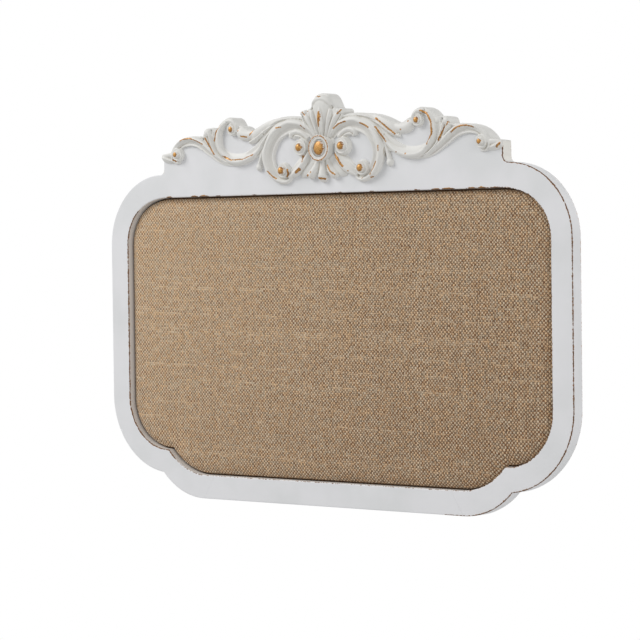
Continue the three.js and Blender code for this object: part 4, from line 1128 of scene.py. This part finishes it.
# %% The flat place of every thread
def flatten(piece, rings, loops):
    """UVs in metres, measured along the surface from the start of the roll, and the flat area."""
    inner = [Vector(p) for p in loops[-1]]
    outer = [Vector(p) for p in loops[EDGE_RING]]
    count = len(inner)
    run, flat = 0.0, {}
    for r in range(len(rings) - 1, -1, -1):
        if r < len(rings) - 1:
            run += math.hypot(rings[r][0] - rings[r + 1][0], rings[r][1] - rings[r + 1][1])
        for i in range(count):
            flat[r * count + i] = inner[i] + (outer[i] - inner[i]).normalized() * run
    layer = piece.data.uv_layers.new(name="cloth")
    for loop in piece.data.loops:
        v = loop.vertex_index
        spot = flat.get(v)
        if spot is None:
            co = piece.data.vertices[v].co
            spot = Vector((co.x / MM, co.z / MM - BOTTOM))
        layer.data[loop.index].uv = spot * MM
    area = 0.0
    for face in piece.data.polygons:
        uv = [layer.data[i].uv for i in face.loop_indices]
        area += abs(sum(a.x * b.y - b.x * a.y for a, b in sides_of(uv))) / 2
    return area


cloth_area = flatten(cover, cloth_rings, loops)
print("flat cloth:", round(cloth_area, 4), "square metres")

# %% [markdown]
# The wadding is springy and pushes the burlap out between its edges. A short cloth
# simulation with pressure behind the sheet finds that swelling, as air would lift a
# membrane. The hem, the edge and the first rings of the roll are pinned. Stretched
# burlap over thin wadding rises less than a millimetre, so the result is scaled to
# that.

# %% Let the wadding swell
SWELLING = 0.8       # millimetres
PINNED_RINGS = 12    # the hem, the edge and the start of the roll
PRESSURE, STEPS = 4, 20


def swell(piece, pinned, rise):
    """Push a sheet out by a short cloth simulation, at most by the given rise."""
    piece.vertex_groups.new(name="pinned").add(pinned, 1.0, "REPLACE")
    before = measured(piece.data)
    pick(piece)
    bpy.ops.object.modifier_add(type="CLOTH")
    cloth = piece.modifiers[-1]
    cloth.settings.vertex_group_mass = "pinned"
    cloth.settings.quality = 5
    cloth.settings.use_pressure, cloth.settings.uniform_pressure_force = True, PRESSURE
    cloth.settings.effector_weights.gravity = 0
    for step in range(1, STEPS + 1):
        bpy.context.scene.frame_set(step)
    bpy.ops.object.modifier_apply(modifier=cloth.name)
    bpy.context.scene.frame_set(1)
    moved = measured(piece.data) - before
    swelling = before + moved * (rise / max(abs(moved[:, 1]).max(), 1e-6))
    for vertex, spot in zip(piece.data.vertices, swelling):
        vertex.co = place(*spot)


swell(cover, list(range(PINNED_RINGS * len(loops[0]))), SWELLING)
lows = measured(cover.data)[:, 1]
print("the burlap stands between", round(lows.min(), 2), "and", round(lows.max(), 2), "mm behind the front")

# %% Give the burlap its thickness
CLOTH_THICKNESS = 0.7
modify(cover, "SOLIDIFY", thickness=CLOTH_THICKNESS * MM, offset=-1.0)
pick(cover)
bpy.ops.object.shade_smooth()
print("burlap:", len(cover.data.polygons), "faces")

# %% [markdown]
# ### Burlap
# Burlap is a plain weave of coarse jute, about 12 threads to the inch. Each thread
# goes over one and under the next, so the height of a thread is a wave that is
# shifted by half from thread to thread. Jute is uneven: every thread has its own
# tone and leans a little to one side or the other, and some are thick and pale for a
# short while. Small holes stay open at the corners of the weave, and their shade is
# painted dark brown, deeper towards the right. The warp threads are painted lighter
# than the weft and the cloth lighter on the left, as painted light, and the cloth is
# darker towards the bottom.

# %% Burlap: where each thread lies
THREAD = 2.03 * MM
VECTOR, WHITE_NOISE, COMBINE = "ShaderNodeVectorMath", "ShaderNodeTexWhiteNoise", "ShaderNodeCombineXYZ"
burlap, tree = new_material("jute_burlap")
cloth = add(tree, "ShaderNodeUVMap", uv_map="cloth")
sway = add(tree, NOISE, {"Vector": cloth, "Scale": 1 / (15 * MM), "Detail": 2.0, "Roughness": 0.75}, 1)
off_centre = add(tree, VECTOR, [sway, (0.5, 0.5, 0.5)], operation="SUBTRACT")
swayed = add(tree, VECTOR, [off_centre, (2.8 * MM, 2.8 * MM, 0), cloth], **TIMES_PLUS)
threads = add(tree, "ShaderNodeMapping", {"Vector": swayed, "Rotation": (0, 0, math.radians(1)),
                                          "Scale": (1 / THREAD, 1 / THREAD, 1)})
whole = add(tree, VECTOR, [threads], operation="FLOOR")
part = add(tree, VECTOR, [add(tree, VECTOR, [threads], operation="FRACTION"), (0.5, 0.5, 0)], operation="SUBTRACT")
column, row, _ = add(tree, SPLIT, [whole]).node.outputs
offset_x, offset_z, _ = add(tree, SPLIT, [part]).node.outputs
even = add(tree, MATH, [add(tree, MATH, [column, row], **PLUS), 2.0], operation="FLOORED_MODULO")


def sample_place(number, across, other, along, seed):
    """A place in a noise that changes from thread to thread and slowly along each of them."""
    return add(tree, COMBINE, [add(tree, MATH, [number, across], **TIMES), add(tree, MATH, [other, along], **TIMES),
                               seed])


def thread_height(offset, along, over):
    """A thread is round across; where it passes over it arches up, elsewhere it dips."""
    side = add(tree, MATH, [offset, offset], **TIMES)
    arch = add(tree, MATH, [add(tree, MATH, [along, 0.86 * math.pi], **TIMES)], operation="COSINE")
    return add(tree, MATH, [side, -3.4, add(tree, MATH, [arch, over], **TIMES)], **TIMES_PLUS)


def wandering(offset, number, other, seed):
    """No thread runs quite straight: each one leans to its own side from crossing to crossing."""
    lean = add(tree, NOISE, {"Vector": sample_place(number, 5.17, other, 0.45, seed), "Scale": 1.0, "Detail": 1.0})
    return add(tree, MATH, [lean, 1.1, add(tree, MATH, [offset, 0.55], operation="SUBTRACT")], **TIMES_PLUS)


warp_offset = wandering(offset_x, column, row, 41.3)
weft_offset = wandering(offset_z, row, column, 57.9)
weft_over = add(tree, MATH, [even, 2.0, -1.0], **TIMES_PLUS)
warp_over = add(tree, MATH, [even, -2.0, 1.0], **TIMES_PLUS)
warp = thread_height(warp_offset, offset_z, warp_over)
weft = thread_height(weft_offset, offset_x, weft_over)
height = add(tree, MATH, [warp, weft], operation="MAXIMUM")
on_top = add(tree, MATH, [warp, weft], operation="GREATER_THAN")
print("threads to the inch:", round(25.4 * MM / THREAD, 1))

# %% Burlap: tones of the threads
WARP_PAINTED_LIGHT, CELL_SHARE, PAINTED_LIGHT_FROM_LEFT, DARKER_TOWARDS_BOTTOM = 0.52, 0.22, -0.28, 0.42
TONE_LOW, TONE_HIGH = 0.43, 1.2
cell = add(tree, WHITE_NOISE, {"Vector": whole}, noise_dimensions="3D")


def tone(number, other, seed):
    """Each thread has a tone of its own that changes every few crossings."""
    own = add(tree, WHITE_NOISE, {"W": add(tree, MATH, [number, seed], **PLUS)}, noise_dimensions="1D")
    drift = add(tree, NOISE, {"Vector": sample_place(number, 7.31, other, 0.2, seed), "Scale": 1.0, "Detail": 2.0})
    thick = add(tree, RANGE, [drift, 0.44, 0.54], **SMOOTH)
    slub = add(tree, MATH, [add(tree, MATH, [own, 5.0], operation="POWER"), thick], **TIMES)
    return add(tree, MATH, [slub, 0.3, add(tree, MATH, [drift, 0.36], **TIMES)], **TIMES_PLUS)


# painted light: the warp threads are painted lighter than the weft, as the lamps light them
warp_tone = add(tree, MATH, [tone(column, row, 3.7), WARP_PAINTED_LIGHT], **PLUS)
weft_tone = tone(row, column, 11.2)
shade = add(tree, MIX, {0: on_top, 2: weft_tone, 3: warp_tone}, data_type="FLOAT")
crossing_tone = add(tree, MATH, [cell, CELL_SHARE, shade], **TIMES_PLUS)
fibres = []
for thin_x, thin_z in ((1, 7), (7, 1)):
    drawn = add(tree, "ShaderNodeMapping", {"Vector": swayed, "Scale": (7 / thin_x, 7 / thin_z, 1)})
    fibres.append(add(tree, NOISE, {"Vector": drawn, "Scale": 1 / (2.2 * MM), "Detail": 2.0}))
fibre = add(tree, MIX, {0: on_top, 2: fibres[1], 3: fibres[0]}, data_type="FLOAT")
lightness = add(tree, MATH, [fibre, 0.4, crossing_tone], **TIMES_PLUS)
side_x, side_z, _ = add(tree, SPLIT, [cloth]).node.outputs
# painted light: the cloth is painted lighter on the left, towards the key lamp; it is also darker towards the bottom
for side, fade in ((side_x, PAINTED_LIGHT_FROM_LEFT), (side_z, DARKER_TOWARDS_BOTTOM)):
    lightness = add(tree, MATH, [side, fade, lightness], **TIMES_PLUS)
tone_share = add(tree, RANGE, [lightness, TONE_LOW, TONE_HIGH])
print("tones from", TONE_LOW, "to", TONE_HIGH)

# %% Burlap: colours, holes and relief
HOLE_SHARE = 0.95
reddish, greyish = (add(tree, MIX, {0: tone_share, 6: colour(dark), 7: colour(light)}, **COLOURS)
                    for dark, light in (("7F593A", "E6C298"), ("7E6A54", "DDC8AC")))
batch = add(tree, MIX, {0: on_top, 2: tone(row, column, 23.1), 3: tone(column, row, 31.7)}, data_type="FLOAT")
speck = add(tree, WHITE_NOISE, {"Vector": add(tree, VECTOR, [whole, (37, 11, 5)], **PLUS)}, noise_dimensions="3D")
batch = add(tree, MATH, [batch, 1.1, add(tree, MATH, [on_top, 0.2], **TIMES)], **TIMES_PLUS)
dye = add(tree, RANGE, [add(tree, MATH, [speck, 0.55, batch], **TIMES_PLUS), 0.38, 0.86])
jute = add(tree, MIX, {0: dye, 6: reddish, 7: greyish}, **COLOURS)
# painted shade: the holes of the weave are painted dark brown, darker towards the right
hole = add(tree, RANGE, [height, -0.5, 0.42, 1, 0], **SMOOTH)
painted_hole_shade = add(tree, MATH, [hole, add(tree, RANGE, [side_x, -0.26, 0.06, 0.24, HOLE_SHARE])], **TIMES)
woven = add(tree, MIX, {0: painted_hole_shade, 6: jute, 7: colour("46301F")}, **COLOURS)
fuzz = add(tree, MATH, [fibre, 0.25, height], **TIMES_PLUS)
bump = add(tree, BUMP, {"Height": fuzz, "Distance": 0.35 * MM, "Strength": 0.9})
add(tree, OUTPUT, [add(tree, SURFACE, {"Base Color": woven, "Roughness": 0.9, "Normal": bump,
                                       "Sheen Weight": 0.1, "Specular IOR Level": 0.2})])
hand_over(cover, "board", "burlap", burlap, "burlap_cover")

# %% [markdown]
# Under the burlap lie the wadding, the cork board and a hardboard back that holds
# the panel in its rebate. Felted fibres, planed wood, moulded rubber and plated
# metal all look even from afar and speckled from near, so one function makes a
# finish from two tones, mixed by a noise of the right grain, and lifts the same
# noise a little.

# %% A finish of two tones
def speckled(name, first, second, grain, detail, roughness, lift=0.0, strength=0.4, metallic=0.0):
    """Grain and lift are in millimetres; the gloss of a metal varies with its speckle."""
    made, tree = new_material(name)
    spot = add(tree, PLACES, output=3)
    speckle = add(tree, NOISE, {"Vector": spot, "Scale": 1 / (grain * MM), "Detail": detail})
    tint = add(tree, MIX, {0: speckle, 6: colour(first), 7: colour(second)}, **COLOURS)
    finish = {"Base Color": tint, "Roughness": roughness, "Metallic": metallic}
    if metallic:
        finish["Roughness"] = add(tree, RANGE, [speckle, 0.3, 0.7, roughness - 0.06, roughness + 0.08])
    if lift:
        finish["Normal"] = add(tree, BUMP, {"Height": speckle, "Distance": lift * MM, "Strength": strength})
    add(tree, OUTPUT, [add(tree, SURFACE, finish)])
    return made


felt = speckled("polyester_wadding", "D9D5CB", "F4F1EA", 1.5, 6.0, 1.0, 0.4, 0.6)
beech = speckled("beech_dowel", "B98E5E", "DDBB8C", 1.5, 4.0, 0.6)
rubber = speckled("moulded_rubber", "232323", "3A3A39", 0.6, 3.0, 0.75, 0.05)
zinc = speckled("zinc_plated_steel", "C9CCD0", "A9ADB2", 3, 3.0, 0.34, 0.02, metallic=1.0)
nickel = speckled("plated_screw_steel", "B9BABA", "98999B", 3, 3.0, 0.28, 0.02, metallic=1.0)
for name in dowels:
    coat(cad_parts[name], beech)
print("finishes:", [made.name for made in (felt, beech, rubber, zinc, nickel)])

# %% Wadding, and the width of the burlap's cloth
PAD_GAP, PAD_EDGE, PAD_TOP = 5.0, 7.05, 4.8
ALLOWANCE = 0.0277     # metres of cloth beyond the opening: roll, edge and hem
pad_rings = [(PAD_GAP - 0.4, 7.7), (PAD_GAP - 0.4, 7.25), (PAD_GAP, PAD_EDGE)]
pad_rings += [(PAD_GAP + ROLL_WIDTH * k / 6, PAD_EDGE + (PAD_TOP - PAD_EDGE) * crown(k / 6)) for k in range(1, 7)]
pad, _ = padded_sheet("wadding_pad", pad_rings, 8.0, 0.1)
bpy.ops.object.mode_set(mode="EDIT")
bpy.ops.mesh.select_all(action="DESELECT")
bpy.ops.mesh.select_non_manifold()
bpy.ops.mesh.edge_face_add()
bpy.ops.object.mode_set(mode="OBJECT")
modify(pad, "TRIANGULATE")
smooth(pad, 50)
hand_over(pad, "board", "wadding", felt, "wadding")
edge_line = opening(-GAP)
width = 2 * max(x for x, _ in edge_line) * MM + 2 * ALLOWANCE

# %% Cork board
cork, tree = new_material("pressed_cork")
spot = add(tree, PLACES, output=3)
crumbs = add(tree, "ShaderNodeTexVoronoi", {"Vector": spot, "Scale": 1 / (2.5 * MM)}, 1)
grey = add(tree, "ShaderNodeRGBToBW", [crumbs])
cork_tone = add(tree, MIX, {0: grey, 6: colour("8A5F38"), 7: colour("C99A66")}, **COLOURS)
bump = add(tree, BUMP, {"Height": crumbs.node.outputs[0], "Distance": 0.2 * MM, "Strength": 0.5})
add(tree, OUTPUT, [add(tree, SURFACE, {"Base Color": cork_tone, "Roughness": 0.9, "Normal": bump})])
coat(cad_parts["cork_board"], cork)
print("cork with", len(tree.nodes), "nodes")

# %% Hardboard back
backing = plate("hardboard_back", [opening(7.5)], BACKING_FRONT, THICKNESS, 0.25, 1)
smooth(backing, 30)
hardboard, tree = new_material("tempered_hardboard")
spot = add(tree, PLACES, output=3)
fibres = add(tree, NOISE, {"Vector": spot, "Scale": 1 / (1.2 * MM), "Detail": 6.0, "Roughness": 0.7})
patches = add(tree, NOISE, {"Vector": spot, "Scale": 1 / (45 * MM), "Detail": 2.0})
mixed = add(tree, RANGE, [add(tree, MATH, [patches, 0.6, fibres], **TIMES_PLUS), 0.55, 1.05])
board_tone = add(tree, MIX, {0: mixed, 6: colour("5E432C"), 7: colour("8E6A47")}, **COLOURS)
bump = add(tree, BUMP, {"Height": fibres, "Distance": 0.1 * MM, "Strength": 0.4})
add(tree, OUTPUT, [add(tree, SURFACE, {"Base Color": board_tone, "Roughness": 0.72, "Normal": bump})])
hand_over(backing, "board", "hardboard", hardboard, "backing_board")

# %% [markdown]
# ## Hardware on the back
# Six turn buttons keep the panel in, and two strap hangers with rings carry the
# board. They are pressed and bent from zinc-plated steel, with softened edges. The
# screws are turned: half a section is drawn and spun round its axis, and a cross
# recess is cut into the head.

# %% Turned pieces
def spun(name, profile, steps=40):
    """A solid turned about the Y axis from points (radius, depth) in millimetres."""
    mesh = bpy.data.meshes.new(name)
    mesh.from_pydata([(r * MM, y * MM, 0) for r, y in profile], [(i, i + 1) for i in range(len(profile) - 1)], [])
    turn = {"steps": steps, "angle": 2 * math.pi, "center": (0, 0, 0), "axis": (0, 1, 0)}
    piece = edit(new_object(name, mesh), (bpy.ops.mesh.spin, turn),
                 (bpy.ops.mesh.remove_doubles, {"threshold": 0.00001}), OUTWARD)
    smooth(piece, 35)
    return piece


def block(width, depth, height, at):
    bpy.ops.mesh.primitive_cube_add(size=1, location=at)
    made = bpy.context.object
    made.scale = (width * MM, depth * MM, height * MM)
    bpy.ops.object.transform_apply()
    return made


HEAD_TOP = 1.8
screw = spun("screw", [(0, -10), (0.5, -9.2), (1.2, -7.6), (1.5, -7), (1.5, 0), (3.2, 0), (3.2, 0.5), (3.1, 0.9),
                       (2.8, 1.3), (2.3, 1.62), (1.5, 1.78), (0, HEAD_TOP)])
for width, height in ((3.4, 0.9), (0.9, 3.4)):
    carve(screw, block(width, 2, height, (0, HEAD_TOP * MM, 0)))
bumper = spun("bumper", [(0, 0), (5, 0), (5, 0.6), (4.35, 4.2), (4.1, 4.8), (3.6, 5), (0, 5)], 48)


def placed_copy(piece, name, at):
    twin = copy_of(piece, name)
    twin.data.transform(Matrix.Translation(at))
    return twin


print("screw:", len(screw.data.polygons), "faces, bumper:", len(bumper.data.polygons))

# %% Turn buttons
for name, (x, z, turn) in BUTTONS.items():
    spin = math.radians(turn)
    outline = arc((0, 0), 5, math.pi, 2 * math.pi, 16) + arc((0, 18), 5, 0, math.pi, 16)
    turned = [[(x + a * math.cos(spin) + b * math.sin(spin), z - a * math.sin(spin) + b * math.cos(spin))
               for a, b in loop] for loop in (outline, circle(0, 0, 2.0, 24))]
    button = plate("button_" + name, turned, 15.3, 16.3, 0.3)
    smooth(button, 40)
    hand_over(button, "turn_button_" + name, "zinc_steel", zinc, "turn_button_" + name)
    fixing = placed_copy(screw, "screw_" + name, place(x, BUTTON_SEAT, z))
    hand_over(fixing, "board", "screw_steel", nickel, "button_screw_" + name)

# %% A strap hanger, folded round its knuckle
KNUCKLE_DEPTH, KNUCKLE_HEIGHT = 17.3, 350


def strap_of(side, x):
    knuckle_at = place(x, KNUCKLE_DEPTH, KNUCKLE_HEIGHT)
    outline = [(x + 6, KNUCKLE_HEIGHT), (x - 6, KNUCKLE_HEIGHT)] + arc((x, 339.5), 6, -math.pi, 0, 20)
    strap = plate("strap_" + side, [outline], 15.0, 15.75, 0.15, 2)
    upper_sheet = plate("upper_sheet", [outline], 15.85, 16.6, 0.15, 2)
    knuckle = modify(bar(2.3, 12, knuckle_at), "BEVEL", width=0.15 * MM, segments=2, limit_method="ANGLE")
    bpy.ops.object.transform_apply()
    carve(strap, knuckle, "UNION")
    carve(strap, upper_sheet, "UNION")
    carve(strap, bar(1.5, 14, knuckle_at))
    carve(strap, plate("drill", [circle(x, STRAP_SCREW_HEIGHT, SCREW_HOLE, 24)], 14, 18))
    smooth(strap, 35)
    return strap


# %% A ring of bent wire
WIRE = 1.2    # half its thickness
RING = [(-8.7 + 17.4 * k / 8, 0) for k in range(9)] + [(8.95, 0.35)]
RING += [(9 * math.cos(a), 16 * math.sin(a) ** 0.8) for a in np.linspace(0, math.pi, 41)[1:-1]] + [(-8.95, 0.35)]


def ring_of(side, x):
    line = [place(x + a, KNUCKLE_DEPTH, KNUCKLE_HEIGHT + b) for a, b in RING]
    loop = curve_through("ring_" + side, [line], dimensions="3D")
    loop.data.bevel_depth, loop.data.bevel_resolution = WIRE * MM, 5
    bpy.ops.object.convert(target="MESH")
    bpy.ops.object.shade_smooth()
    return loop


print("points round a ring:", len(RING))

# %% Hangers, rings and bumpers in place
for side, x in HANGERS.items():
    hand_over(strap_of(side, x), "board", "zinc_steel", zinc, "hanger_strap_" + side)
    hand_over(ring_of(side, x), "hanger_ring_" + side, "zinc_steel", zinc, "hanger_ring_" + side)
    fixing = placed_copy(screw, "screw_hanger_" + side, place(x, STRAP_SEAT, STRAP_SCREW_HEIGHT))
    hand_over(fixing, "board", "screw_steel", nickel, "hanger_screw_" + side)
    low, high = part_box("bumper_" + side)
    pad_at = Vector(((low.x + high.x) / 2, low.y, (low.z + high.z) / 2))
    hand_over(placed_copy(bumper, "wall_bumper_" + side, pad_at), "board", "bumper_rubber", rubber, "bumper_" + side)
for spare in (screw, bumper):
    bpy.data.objects.remove(spare)
print("hardware is in")

# %% The bounds of the whole object
low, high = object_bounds()
